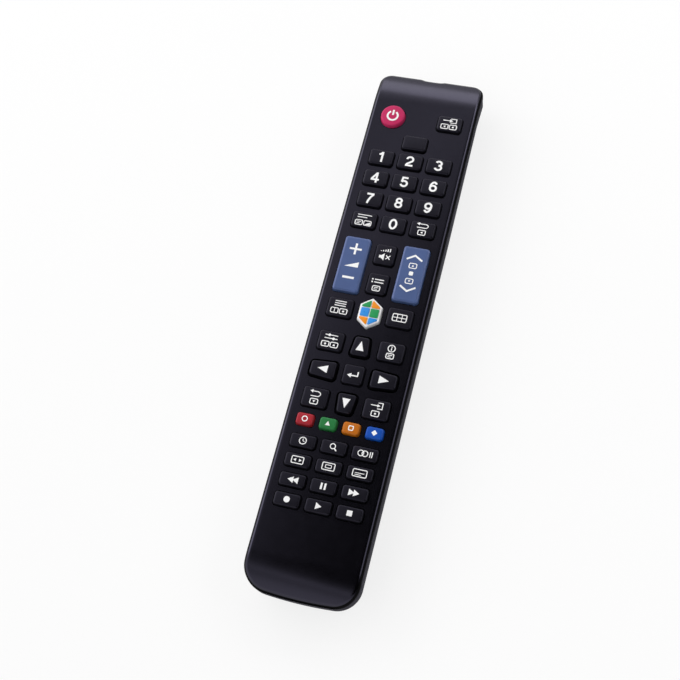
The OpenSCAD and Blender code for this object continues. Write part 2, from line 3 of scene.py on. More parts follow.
import bpy
import numpy as np
from bpy.props import FloatProperty, FloatVectorProperty, PointerProperty
from mathutils import Matrix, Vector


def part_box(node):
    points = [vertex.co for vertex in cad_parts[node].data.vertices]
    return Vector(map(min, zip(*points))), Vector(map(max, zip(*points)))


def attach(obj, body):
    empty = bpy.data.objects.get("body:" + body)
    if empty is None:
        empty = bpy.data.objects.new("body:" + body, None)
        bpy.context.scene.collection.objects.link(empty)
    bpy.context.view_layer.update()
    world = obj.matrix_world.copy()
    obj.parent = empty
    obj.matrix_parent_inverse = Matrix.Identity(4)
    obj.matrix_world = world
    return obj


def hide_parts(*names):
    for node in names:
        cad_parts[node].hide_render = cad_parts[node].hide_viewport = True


bl_info = {
    "name": "Handheld remote control",
    "version": (1, 0, 0),
    "blender": (4, 5, 0),
    "location": "3D View > Sidebar > Remote",
    "description": "Models the covers, keys, prints and finishes of a slim remote control round its frame",
    "category": "Object",
}

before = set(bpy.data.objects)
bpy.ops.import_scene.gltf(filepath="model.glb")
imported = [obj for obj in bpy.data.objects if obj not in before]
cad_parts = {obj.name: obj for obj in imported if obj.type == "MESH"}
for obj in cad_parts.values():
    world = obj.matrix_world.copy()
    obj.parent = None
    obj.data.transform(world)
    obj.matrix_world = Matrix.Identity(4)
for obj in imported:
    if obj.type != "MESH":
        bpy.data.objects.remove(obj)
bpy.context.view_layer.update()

MM = 0.001


def box_of(node):
    """Lowest and highest corner of a node of the frame"""
    return [np.array(corner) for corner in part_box(node)]


# Places and heights that the frame gives
SHELL_LOW, SHELL_HIGH = box_of("bottom_cover")
HALF_WIDTH = SHELL_HIGH[0]
FRONT_Y = SHELL_HIGH[1]
REAR_Y = SHELL_LOW[1]
FACE_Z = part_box("top_cover")[1].z
EMITTER_LOW, EMITTER_HIGH = box_of("ir_led")
EMITTER_RADIUS = (EMITTER_HIGH[0] - EMITTER_LOW[0]) / 2
SEAM_Z = (EMITTER_LOW[2] + EMITTER_HIGH[2]) / 2
BOARD_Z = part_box("circuit_board")[0].z
CELL_LOW, CELL_HIGH = box_of("cell_right")
CELL_X = (CELL_LOW[0] + CELL_HIGH[0]) / 2
PLATE_LOW, PLATE_HIGH = box_of("contact_plates")
DOOR_LOW, DOOR_HIGH = box_of("battery_door")
SCREW_LOW, SCREW_HIGH = box_of("case_screws")

PADS = (
    ["key_source", "key_blank", "key_text", "key_previous", "key_mute", "key_list", "key_menu", "key_guide"]
    + ["key_" + str(number) for number in range(10)]
    + ["key_tools", "key_info", "key_ok", "key_return", "key_exit"]
    + ["key_red", "key_green", "key_orange", "key_blue"]
    + ["key_timer", "key_search", "key_dual", "key_zoom", "key_size", "key_subtitle"]
    + ["key_rewind", "key_pause", "key_forward", "key_record", "key_play", "key_stop"]
)
ARROWS = {"key_right": 0, "key_up": 1, "key_left": 2, "key_down": 3}
ROCKERS = ["rocker_volume", "rocker_programme"]

# Points of the case's outline: round a front corner, round a rear corner, along the bow between the rear
# corners, and the first and last number on a side
CORNER_POINTS, REAR_POINTS, BOW_POINTS = 16, 24, 40
SIDE_POINTS = (56, 145)

# Points round a corner of a key, and round a quarter of the power key
KEY_POINTS, ROUND_POINTS = 9, 33

# Slopes at which the rim of the key face begins and ends
RIM_SLOPES = (math.radians(38), math.radians(16))

# Least corner radius, half width of a cover's last ring, chamfer at the seam, and the overlap that keeps
# faces out of one plane
LEAST_RADIUS = 0.2 * MM
CORE = 0.5 * MM
CHAMFER = 0.15 * MM
HAIR = 0.01 * MM

# Play of the battery door, and how far a solid that cuts reaches past what it cuts
SLIP = 0.15 * MM
PAST = 1 * MM

# Heights of the door's tongues and half the width of its tab
TONGUE_LOW, TONGUE_HIGH = 0.6 * MM, 1.2 * MM
TAB_HALF = 4 * MM

# Half the width of the battery bay
BAY_HALF = CELL_HIGH[0] - CELL_LOW[0] + 0.45 * MM

# Angle in degrees above which an edge stays sharp, and the cast of reflections on the dark plastic
SHARP = 32
COOL = (0.73, 0.69, 1.0)

# Width of the camera's sensor in millimetres, and its focal length in picture widths
SENSOR = 36
FOCAL = 1200 / 680

# Finishes by name, made once each
FINISHES = {}


def length(name, description, default):
    """A length property in metres"""
    return FloatProperty(name=name, description=description, default=default, precision=5, subtype="DISTANCE",
                         unit="LENGTH")


def inclination(name, description, default):
    """An angle property in radians"""
    return FloatProperty(name=name, description=description, default=default, subtype="ANGLE",
                         unit="ROTATION")


def tint(name, description, default):
    """A colour property in linear red, green and blue"""
    return FloatVectorProperty(name=name, description=description, default=default, size=3, min=0, max=1,
                               subtype="COLOR")


class RemoteCaseSizes(bpy.types.PropertyGroup):
    """Sizes of the covers and the battery bay"""

    wall: length("Wall", "Wall of both covers", 1.8 * MM)
    face: length("Key face", "Thickness of the key face", 2 * MM)
    seam_line: length("Seam line", "Open line between the two covers", 0.12 * MM)
    edge: length("Face edge", "Radius of the crowned rim round the key face", 2.2 * MM)
    crease: length("Face crease", "Radius of the two tighter bends beside that rim", 0.6 * MM)
    bevel: length("Face bevel", "Width of the bevel outside that rim", 0.6 * MM)
    bevel_slope: inclination("Bevel slope", "Slope of that bevel", math.radians(60))
    shell_step: length("Shell step", "Step at the seam, from the cover in to the lower shell", 0.15 * MM)
    front_radius: length("Front corner", "Corner radius at the emitter end, from above", 5 * MM)
    rear_radius: length("Rear corner", "Corner radius at the rear end, from above", 10 * MM)
    rear_bow: length("Rear bow", "Radius of the bow of the rear edge", 160 * MM)
    belly: length("Belly", "Radius of the lower edge along the sides and round the rear end", 9 * MM)
    toe: length("Toe", "Radius of the lower edge at the emitter end", 4 * MM)
    toe_rise: length("Toe rise", "Height by which the underside rises towards the emitter end", 3 * MM)
    toe_length: length("Toe length", "Length of that rise", 74 * MM)
    front_curve: length("Front curve", "Length over which the face curves down in front", 16 * MM)
    front_drop: length("Front drop", "Height by which the face drops in front", 3 * MM)
    rear_curve: length("Rear curve", "Length over which the face curves down at the rear", 15 * MM)
    rear_drop: length("Rear drop", "Height by which the face drops at the rear", 5 * MM)
    scoop_width: length("Scoop width", "Width of the scoop in the front edge", 10 * MM)
    scoop_depth: length("Scoop depth", "Depth of the scoop in the front edge", 0.7 * MM)
    bay_wall: length("Bay wall", "Walls and roof of the battery bay", 1.2 * MM)
    grip: length("Grip groove", "Width of a grip groove in the battery door", 1.2 * MM)
    grip_depth: length("Grip depth", "Depth of a grip groove", 0.4 * MM)


class RemoteKeySizes(bpy.types.PropertyGroup):
    """Sizes of the keys and their prints"""

    corner: length("Corner", "Corner radius of a key, from above", 1.4 * MM)
    gap: length("Gap", "Gap round a key in the face", 0.2 * MM)
    arrow_gap: length("Arrow gap", "Gap round an arrow key in the face", 0.7 * MM)
    flange: length("Flange", "Overhang of the flange under the face", 0.35 * MM)
    arrow_flange: length("Arrow flange", "Overhang of an arrow key's flange", 0.85 * MM)
    flange_height: length("Flange height", "Height of that flange", 0.6 * MM)
    trunnion: length("Trunnion", "Reach of a rocker's trunnions past its sides", 0.7 * MM)
    draft: length("Draft", "Amount by which a key narrows up to its upper edge", 0.25 * MM)
    edge: length("Upper edge", "Rounding of the upper edge of a key", 0.75 * MM)
    bevel: length("Bevel", "Width of the bevel round the top of a rocker", 0.55 * MM)
    bevel_slope: inclination("Bevel slope", "Slope of that bevel", math.radians(22))
    arrow_taper: length("Arrow taper", "How far an arrow key's sides come in at its outer end", 0.9 * MM)
    digit: length("Digit", "Height of a digit", 4.8 * MM)
    digit_stroke: length("Digit stroke", "Stroke of a digit", 0.84 * MM)
    print_height: length("Print height", "Height of a print above its key", 0.03 * MM)


class RemoteColours(bpy.types.PropertyGroup):
    """Colours of the finishes"""

    face: tint("Key face", "Satin black of the cover", (0.0012, 0.0011, 0.0015))
    shell: tint("Lower shell", "Matt charcoal of the lower shell", (0.024, 0.0225, 0.032))
    key: tint("Keys", "Black rubber of the keys", (0.0016, 0.0015, 0.0021))
    power: tint("Power key", "Crimson of the power key", (0.53, 0.026, 0.110))
    rocker: tint("Rockers", "Slate blue of the rockers", (0.066, 0.108, 0.250))
    hub: tint("Hub", "White of the hub key", (0.90, 0.90, 0.91))
    sun: tint("Orange tiles", "Orange of the hub's tiles", (0.88, 0.28, 0.008))
    leaf: tint("Green tiles", "Green of the hub's tiles", (0.012, 0.30, 0.085))
    sky: tint("Blue tiles", "Blue of the hub's tiles", (0.03, 0.28, 0.76))
    red: tint("Red key", "Red of the first colour key", (0.38, 0.020, 0.026))
    green: tint("Green key", "Green of the second colour key", (0.02, 0.19, 0.045))
    orange: tint("Orange key", "Orange of the third colour key", (0.52, 0.145, 0.003))
    blue: tint("Blue key", "Blue of the fourth colour key", (0.005, 0.072, 0.40))
    ink: tint("Print", "White of the prints", (0.93, 0.93, 0.93))


class RemoteStage(bpy.types.PropertyGroup):
    """Camera and light"""

    camera: FloatVectorProperty(name="Camera", description="Place of the camera", size=3, unit="LENGTH",
                                subtype="TRANSLATION", default=(0.08956, -0.17098, 0.45229))
    right: FloatVectorProperty(name="Right", description="Direction to the right of the picture", size=3,
                               subtype="DIRECTION", default=(0.96028, 0.24835, -0.12718))
    up: FloatVectorProperty(name="Up", description="Direction to the top of the picture", size=3,
                            subtype="DIRECTION", default=(-0.18519, 0.90824, 0.37525))
    lens: FloatProperty(name="Lens", description="Focal length for a sensor of 36 mm", unit="CAMERA",
                        subtype="DISTANCE_CAMERA", default=SENSOR * FOCAL)
    floor: tint("Floor", "Pale floor", (0.96, 0.96, 0.96))


# Outlines

def ellipse(x, y, rx, ry, start, stop, count=25):
    """Points on an ellipse: the centre plus (rx cos a, ry sin a) for a from start to stop, in degrees"""
    angle = np.radians(np.linspace(start, stop, count))
    return np.column_stack([x + rx * np.cos(angle), y + ry * np.sin(angle)])


def crowded(count, pull=0.7):
    """Shares from 0 to 1 that lie closer together near both ends: t less pull times sin(2 pi t) / (2 pi)"""
    share = np.linspace(0, 1, count)
    return share - pull * np.sin(2 * math.pi * share) / (2 * math.pi)


def case_outline(sizes, inset):
    """Outline of the case from above, anticlockwise from the middle of the front, moved in by inset. The
    sides are straight, the front corners are arcs, and the rear is a wide bow whose corner arcs touch bow
    and sides, so that a corner's centre lies at the bow's radius less its own from the bow's centre. The
    front edge has a scoop of depth times (1 - (2 x / width)^4), which fades over an inset of eight
    depths"""
    half = HALF_WIDTH - inset
    front = FRONT_Y - inset
    front_r = max(sizes.front_radius - inset, LEAST_RADIUS)
    rear_r = max(sizes.rear_radius - inset, LEAST_RADIUS)
    bow = sizes.rear_bow - inset
    bow_y = REAR_Y + sizes.rear_bow
    corner_x = half - rear_r
    corner_y = bow_y - math.sqrt((bow - rear_r) ** 2 - corner_x ** 2)
    lean = math.degrees(math.asin(corner_x / (bow - rear_r)))
    run = crowded(SIDE_POINTS[1] - SIDE_POINTS[0] + 1)
    side = np.column_stack([np.full(run.size, half), corner_y + (front - front_r - corner_y) * run])
    across = np.linspace(1, -1, 2 * (SIDE_POINTS[0] - CORNER_POINTS) + 1) * (half - front_r)
    dip = np.clip(1 - (2 * across / sizes.scoop_width) ** 4, 0, None) * sizes.scoop_depth
    edge = np.column_stack([across, front - dip * max(0, 1 - inset / (8 * sizes.scoop_depth))])
    corner = ellipse(half - front_r, front - front_r, front_r, front_r, 0, 90, CORNER_POINTS + 1)
    rear = ellipse(corner_x, corner_y, rear_r, rear_r, 270 + lean, 360, REAR_POINTS + 1)
    flip = np.array([-1, 1])
    tail = ellipse(0, bow_y, bow, bow, 270 - lean, 270 + lean, BOW_POINTS + 1)
    middle = len(edge) // 2
    return np.concatenate([
        edge[middle:-1], (corner * flip)[::-1][:-1], (side * flip)[::-1][:-1], (rear * flip)[::-1][:-1],
        tail[:-1], rear[:-1], side[:-1], corner[:-1], edge[:middle],
    ])


def rounded(corners, radius, inset=0.0, count=KEY_POINTS):
    """Outline of a convex shape with round corners, anticlockwise. A corner's centre lies on its bisector,
    at the radius from both edges, and its points are the centre plus (radius - inset) times (cos a, sin a),
    with a turning from the normal of the edge before to the normal of the edge after"""
    corners = np.asarray(corners, float)
    after = np.roll(corners, -1, axis=0) - corners
    normal = np.arctan2(-after[:, 0], after[:, 1])
    start = np.roll(normal, 1)
    turn = (normal - start) % (2 * math.pi)
    middle = start + turn / 2
    bisector = np.column_stack([np.cos(middle), np.sin(middle)])
    centre = corners - bisector * (radius / np.cos(turn / 2))[:, None]
    angle = start[:, None] + turn[:, None] * np.linspace(0, 1, count)
    spoke = np.stack([np.cos(angle), np.sin(angle)], axis=2)
    return (centre[:, None] + (radius - inset) * spoke).reshape(-1, 2)


def rectangle(x, y, width, height):
    """Four corners, anticlockwise"""
    return np.array([[x + width / 2, y - height / 2], [x + width / 2, y + height / 2],
                     [x - width / 2, y + height / 2], [x - width / 2, y - height / 2]])


# Heights of the case

def face_height(sizes, y, depth=0.0):
    """Height of the key face, or of a surface at this depth below it: flat, with an arc of radius
    (length^2 + drop^2) / (2 drop) down to each end"""
    front_r = (sizes.front_curve ** 2 + sizes.front_drop ** 2) / (2 * sizes.front_drop) - depth
    rear_r = (sizes.rear_curve ** 2 + sizes.rear_drop ** 2) / (2 * sizes.rear_drop) - depth
    ahead = np.clip(y - FRONT_Y + sizes.front_curve, 0, front_r)
    behind = np.clip(REAR_Y + sizes.rear_curve - y, 0, rear_r)
    fall = front_r - np.sqrt(front_r ** 2 - ahead ** 2) + rear_r - np.sqrt(rear_r ** 2 - behind ** 2)
    return FACE_Z - depth - fall


def hollow(radius, distance):
    """Height of a rounding at a distance d from the wall that it rises to: r - sqrt(r^2 - (r - d)^2)"""
    away = np.clip(radius - distance, 0, radius)
    return radius - np.sqrt(radius ** 2 - away ** 2)


def under_height(sizes, y, inset, depth=0.0):
    """Height of the underside at this distance in from the outline, or of a surface at this depth inside
    it: the rise towards the front plus the rounding of the lower edge, whose radius goes from the belly's
    to the toe's over the length of the front curve"""
    rise = sizes.toe_rise * np.clip((y - FRONT_Y) / sizes.toe_length + 1, 0, None)
    share = np.clip((FRONT_Y - y) / sizes.front_curve, 0, 1)
    radius = sizes.toe + (sizes.belly - sizes.toe) * share
    return depth + rise + hollow(radius - depth, inset)


# Solids as arrays of points and faces

def loft(rings, sides=None):
    """Closed solid through rings of equally many points, given from bottom to top: quads between
    neighbouring rings and one face over each end. Where the range of points on a side is given, the end has
    quads between the points k of that side and n - k of the other, for a ring of n points, and one face
    before and after them"""
    rings = np.asarray(rings, float)
    levels, around = rings.shape[:2]
    here = np.arange(around)
    there = np.roll(here, -1)
    base = np.arange(levels - 1)[:, None] * around
    quads = np.stack([base + here, base + there, base + around + there, base + around + here], axis=2)
    end = [here.tolist()]
    if sides:
        first, final = sides
        k = np.arange(first, final)
        end = np.stack([k, k + 1, around - k - 1, around - k], axis=1).tolist()
        end += [list(range(around - first, around)) + list(range(first + 1)),
                list(range(final, around - final + 1))]
    last = (levels - 1) * around
    ends = [face[::-1] for face in end] + [[last + corner for corner in face] for face in end]
    return rings.reshape(-1, 3), quads.reshape(-1, 4).tolist() + ends


def level(outline, z):
    """An outline lifted to the height z, which is a number or one value for each point"""
    return np.column_stack([outline, np.broadcast_to(z, len(outline))])


def prism(outline, low, high):
    """Solid between two heights over an outline"""
    return loft([level(outline, low), level(outline, high)])


def block(low, high):
    """Box between two opposite corners"""
    size = np.subtract(high, low)
    middle = np.add(high, low) / 2
    return prism(rectangle(middle[0], middle[1], size[0], size[1]), low[2], high[2])


def turned(profile, count=48):
    """Solid of revolution about the Y axis: every profile point (radius, y) becomes the ring
    (r sin a, y, r cos a), from the first point to the last along +Y"""
    profile = np.asarray(profile, float)
    angle = np.linspace(0, 2 * math.pi, count, endpoint=False)
    spoke = np.stack([np.sin(angle), np.zeros(count), np.cos(angle)], axis=1)
    rings = profile[:, 0, None, None] * spoke
    rings[:, :, 1] = profile[:, 1, None]
    return loft(rings)


def round_post(x, y, radius, low, high, count=32):
    """Upright cylinder"""
    return prism(ellipse(x, y, radius, radius, 0, 360, count + 1)[:-1], low, high)


def joined(solids):
    """One array of points and one list of faces for several solids"""
    points, faces, start = [], [], 0
    for solid in solids:
        points.append(solid[0])
        faces += [[start + corner for corner in face] for face in solid[1]]
        start += len(solid[0])
    return np.concatenate(points), faces


def moved(solid, x=0.0, y=0.0, z=0.0):
    """A solid carried along by (x, y, z)"""
    return solid[0] + np.array([x, y, z]), solid[1]


def as_object(name, solid, angle=SHARP):
    """Mesh object of a solid, smooth except at edges sharper than the angle"""
    mesh = bpy.data.meshes.new(name)
    mesh.from_pydata(solid[0], [], solid[1])
    mesh.validate()
    made = bpy.data.objects.new(name, mesh)
    bpy.context.scene.collection.objects.link(made)
    smooth(made, angle)
    return made


def smooth(made, angle):
    """Smooth shading, with sharp edges where faces meet at more than the angle in degrees"""
    mesh = made.data
    mesh.polygons.foreach_set("use_smooth", np.ones(len(mesh.polygons), bool))
    mesh.set_sharp_from_angle(angle=math.radians(angle))
    mesh.update()


def carve(made, solid, operation="DIFFERENCE", angle=SHARP):
    """Takes a solid away from an object, or adds it, with an exact Boolean whose result becomes the mesh"""
    tool = as_object("carving_tool", solid)
    modifier = made.modifiers.new("carve", "BOOLEAN")
    modifier.operation = operation
    modifier.solver = "EXACT"
    modifier.object = tool
    graph = bpy.context.evaluated_depsgraph_get()
    carved = bpy.data.meshes.new_from_object(made.evaluated_get(graph))
    made.modifiers.clear()
    plain = made.data
    carved.name = made.name
    made.data = carved
    spare = tool.data
    bpy.data.objects.remove(tool)
    bpy.data.meshes.remove(spare)
    bpy.data.meshes.remove(plain)
    if not len(carved.polygons):
        raise RuntimeError(made.name + " has no faces left after carving")
    smooth(made, angle)


def settle(made, body, slot, material, *nodes):
    """Puts a piece on its body, with its finish, in place of these nodes"""
    made.data.materials.clear()
    made.data.materials.append(material)
    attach(made, body)
    if nodes:
        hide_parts(*nodes)


# Finishes

def shader_of(name):
    """New node material and its main shader, or the finish made earlier under that name with no shader"""
    if name in FINISHES:
        return FINISHES[name], None
    material = bpy.data.materials.new(name)
    material.use_nodes = True
    FINISHES[name] = material
    return material, material.node_tree.nodes["Principled BSDF"]


def noise(material, size, detail=3.0, stretch=(1, 1, 1)):
    """Noise on Object coordinates whose spots are about this size in metres"""
    tree = material.node_tree
    place = tree.nodes.new("ShaderNodeTexCoord")
    turn = tree.nodes.new("ShaderNodeMapping")
    turn.inputs["Scale"].default_value = stretch
    made = tree.nodes.new("ShaderNodeTexNoise")
    made.inputs["Scale"].default_value = 1 / size
    made.inputs["Detail"].default_value = detail
    tree.links.new(place.outputs["Object"], turn.inputs["Vector"])
    tree.links.new(turn.outputs["Vector"], made.inputs["Vector"])
    return made.outputs["Fac"]


def vary(material, source, low, high, socket):
    """A value from low to high while a noise goes from 0.3 to 0.7, linked to a socket"""
    tree = material.node_tree
    made = tree.nodes.new("ShaderNodeMapRange")
    made.inputs["From Min"].default_value = 0.3
    made.inputs["From Max"].default_value = 0.7
    made.inputs["To Min"].default_value = low
    made.inputs["To Max"].default_value = high
    tree.links.new(source, made.inputs["Value"])
    tree.links.new(made.outputs["Result"], socket)


def blend(material, source, low, high, socket, start=0.35, stop=0.65):
    """A colour between two colours that follows a value, linked to a socket"""
    tree = material.node_tree
    ramp = tree.nodes.new("ShaderNodeValToRGB")
    ramp.color_ramp.elements[0].position = start
    ramp.color_ramp.elements[1].position = stop
    ramp.color_ramp.elements[0].color = (*low, 1)
    ramp.color_ramp.elements[1].color = (*high, 1)
    tree.links.new(source, ramp.inputs["Fac"])
    tree.links.new(ramp.outputs["Color"], socket)


def relief(material, shader, source, depth):
    """Bump of this depth in metres"""
    tree = material.node_tree
    bump = tree.nodes.new("ShaderNodeBump")
    bump.inputs["Strength"].default_value = 1
    bump.inputs["Distance"].default_value = depth
    tree.links.new(source, bump.inputs["Height"])
    tree.links.new(bump.outputs["Normal"], shader.inputs["Normal"])


def moulded(name, colour, rough, spread, grain, depth, tone=0.15, specular=0.5, cast=(1, 1, 1)):
    """Moulded plastic or rubber: a broad noise shifts the colour by the tone, a middle one the roughness by
    the spread, and a fine one of the grain's size is the bump; the cast colours its reflections"""
    material, shader = shader_of(name)
    if shader is None:
        return material
    broad, middle = 9 * MM, 2.5 * MM
    dark, pale = np.array(colour) * (1 - tone), np.array(colour) * (1 + tone)
    blend(material, noise(material, broad), dark, pale, shader.inputs["Base Color"])
    patches = noise(material, middle, detail=5)
    vary(material, patches, rough - spread, rough + spread, shader.inputs["Roughness"])
    relief(material, shader, noise(material, grain, detail=2), depth)
    shader.inputs["Specular IOR Level"].default_value = specular
    shader.inputs["Specular Tint"].default_value = (*cast, 1)
    return material


def face_finish(colours):
    """Satin black of the key face"""
    return moulded("satin_black", colours.face, rough=0.18, spread=0.012, grain=0.3 * MM, depth=0.0005 * MM,
                   cast=COOL)


def painted_shade_bevel_finish(colours):
    """Matt grain of the cover's side, and painted shade: its reflection is almost turned off so that it stays
    dark
    """
    # A specular level of 0.03 leaves almost no reflection, which paints shade on the bevel
    return moulded("matt_black_painted_shade", colours.face, rough=0.7, spread=0.05, grain=0.3 * MM, depth=0.02 * MM,
                   specular=0.03)


def shell_finish(colours):
    """Fine spark grain of the lower shell"""
    return moulded("spark_grain_charcoal", colours.shell, rough=0.6, spread=0.05, grain=0.35 * MM,
                   depth=0.03 * MM, specular=0.05, cast=COOL)


def rubber_finish(name, colour, rough=0.42, specular=0.31, tone=0.15):
    """Fine matt rubber of the keys"""
    return moulded(name, colour, rough, spread=0.03, grain=0.12 * MM, depth=0.004 * MM, tone=tone,
                   specular=specular, cast=COOL)


def ink_finish(colours):
    """Printed ink, a little thin in places"""
    return moulded("printed_ink", colours.ink, rough=0.5, spread=0.06, grain=0.1 * MM, depth=0.003 * MM,
                   tone=0.04, specular=0.3)


def steel_finish(name, tone, rough):
    """Drawn metal: the noise is long along X, and shifts tone, roughness and bump"""
    material, shader = shader_of(name)
    if shader is None:
        return material
    spread, tone = 0.08, np.array(tone)
    lines = noise(material, 0.4 * MM, detail=4, stretch=(0.12, 1, 1))
    blend(material, lines, tone * 0.8, tone, shader.inputs["Base Color"])
    vary(material, lines, rough - spread, rough + spread, shader.inputs["Roughness"])
    relief(material, shader, lines, 0.01 * MM)
    shader.inputs["Metallic"].default_value = 1
    return material


# The cover with the key face

def key_corners(node, sizes):
    """Corners of a key's outline from above, and the radius of its corners, from its box less its flange or
    its trunnions"""
    low, high = box_of(node)
    middle = (low + high)[:2] / 2
    width, height = (high - low)[:2]
    if node in ARROWS:
        half = np.array([width, height]) / 2 - sizes.arrow_flange
        across = half[1 - ARROWS[node] % 2]
        reach = half[ARROWS[node] % 2]
        narrow = across - sizes.arrow_taper
        outline = np.array([[-reach, -across], [reach, -narrow], [reach, narrow], [-reach, across]])
        turn = ARROWS[node] * math.pi / 2
        spin = np.array([[math.cos(turn), math.sin(turn)], [-math.sin(turn), math.cos(turn)]])
        return middle + outline @ spin, sizes.corner
    if node in ROCKERS:
        return rectangle(*middle, width - 2 * sizes.trunnion, height), sizes.corner
    width, height = width - 2 * sizes.flange, height - 2 * sizes.flange
    if node == "key_power":
        return rectangle(*middle, width, height), width / 2
    if node == "key_hub":
        half_w, half_h = width / 2, height / 2
        outline = [[half_w, -half_h / 2], [half_w, half_h / 2], [0, half_h], [-half_w, half_h / 2],
                   [-half_w, -half_h / 2], [0, -half_h]]
        return middle + np.array(outline), 0.6 * sizes.corner
    return rectangle(*middle, width, height), sizes.corner


def key_apertures(keys):
    """Upright solids that cut the apertures of the face; a rocker's is longer by what its tip needs"""
    tip = np.array([0, 0.1 * MM])
    reach = 4 * MM
    solids = []
    for node in PADS + list(ARROWS) + ROCKERS + ["key_power", "key_hub"]:
        corners, radius = key_corners(node, keys)
        gap = keys.arrow_gap if node in ARROWS else keys.gap
        if node in ROCKERS:
            corners = corners + np.sign(corners - corners.mean(axis=0)) * tip
        count = ROUND_POINTS if node == "key_power" else KEY_POINTS
        solids.append(prism(rounded(corners, radius, -gap, count), FACE_Z - reach, FACE_Z + reach))
    return joined(solids)


def edge_profile(sizes):
    """Inset and drop of the rings over the cover's edge: up the bevel, then over three arcs whose slope t
    falls from the bevel's to nothing, tight, wide and tight again; over each step the inset grows by radius
    times the fall of sin t and the drop shrinks by radius times the rise of cos t"""
    tight, wide = 5, 9
    bends = [sizes.bevel_slope, *RIM_SLOPES, 0]
    slopes = np.concatenate([np.linspace(bends[0], bends[1], tight),
                             np.linspace(bends[1], bends[2], wide)[1:],
                             np.linspace(bends[2], bends[3], tight)[1:]])
    radius = np.where((slopes[:-1] <= bends[1]) & (slopes[1:] >= bends[2]), sizes.edge, sizes.crease)
    inset = sizes.bevel + np.concatenate([[0], np.cumsum(-radius * np.diff(np.sin(slopes)))])
    drop = np.concatenate([np.cumsum((radius * np.diff(np.cos(slopes)))[::-1])[::-1], [0]])
    foot = [0, drop[0] + sizes.bevel * math.tan(sizes.bevel_slope)]
    return np.vstack([foot, np.column_stack([inset, drop])])


def face_zones(mesh, sizes):
    """Material of each face of the cover: 0 on top, 1 on the matt bevel, whose almost unreflective finish
    paints shade there, where the slope less the slope of the key face along it is steeper than the rim's, and
    2 on the upright outer side, whose normals are nearly level and which is further than the apertures from
    the middle line"""
    level_normal, margin, least, step = 0.2, 1.2 * MM, 1e-9, 0.05 * MM
    normals, centres = np.empty(3 * len(mesh.polygons)), np.empty(3 * len(mesh.polygons))
    mesh.polygons.foreach_get("normal", normals)
    mesh.polygons.foreach_get("center", centres)
    x, y = centres[0::3], centres[1::3]
    across, along, upright = np.abs(normals[0::3]), np.abs(normals[1::3]), np.abs(normals[2::3])
    flat = np.maximum(np.hypot(across, along), least)
    fall = np.abs(face_height(sizes, y + step) - face_height(sizes, y - step)) / (2 * step)
    away = np.hypot(x, y - np.clip(y, REAR_Y + HALF_WIDTH, FRONT_Y - HALF_WIDTH))
    steep = flat / np.maximum(upright, least) - fall * along / flat
    # Zone 1 takes the finish with almost no reflection, which paints shade on the bevel
    zones = (steep > math.tan(RIM_SLOPES[0])).astype(np.int32)
    zones[(upright < level_normal) & (away > HALF_WIDTH - margin)] = 2
    return zones


def emitter_bore():
    """Bore along Y round the emitter, through the front edge at the seam"""
    play, behind, ahead = 0.1 * MM, 12 * MM, 2 * MM
    radius = EMITTER_RADIUS + play
    return moved(turned([[radius, FRONT_Y - behind], [radius, FRONT_Y + ahead]]), z=SEAM_Z)


class REMOTE_OT_key_face(bpy.types.Operator):
    """Cover with the key face: a shell that follows the case's outline, with an aperture for every key"""

    bl_idname = "remote.key_face"
    bl_label = "Key face"

    def execute(self, context):
        sizes, keys = context.scene.remote_case, context.scene.remote_keys
        rest, low = HALF_WIDTH - CORE, SEAM_Z + sizes.seam_line
        inner_rings, outer_rings = 10, 25
        rings = []
        for inset in np.linspace(rest, sizes.wall, inner_rings):
            outline = case_outline(sizes, inset)
            rings.append(level(outline, np.maximum(face_height(sizes, outline[:, 1], sizes.face), low)))
        rings.append(level(case_outline(sizes, sizes.wall), low - HAIR))
        rings.append(level(case_outline(sizes, CHAMFER), low - HAIR))
        rings.append(level(case_outline(sizes, 0), low + CHAMFER))
        profile = edge_profile(sizes)
        for inset, drop in profile:
            outline = case_outline(sizes, inset)
            rings.append(level(outline, face_height(sizes, outline[:, 1]) - drop))
        for inset in np.linspace(profile[-1][0], rest, outer_rings + 1)[1:]:
            outline = case_outline(sizes, inset)
            rings.append(level(outline, face_height(sizes, outline[:, 1])))
        cover = as_object("key_face", loft(rings))
        carve(cover, key_apertures(keys))
        carve(cover, emitter_bore())
        colours = context.scene.remote_colours
        settle(cover, "case", "face_plastic", face_finish(colours), "top_cover")
        # The bevel's matt finish reflects almost nothing and so paints shade there
        cover.data.materials.append(painted_shade_bevel_finish(colours))
        cover.data.materials.append(shell_finish(colours))
        cover.data.polygons.foreach_set("material_index", face_zones(cover.data, sizes))
        return {"FINISHED"}


# The lower shell and the battery door

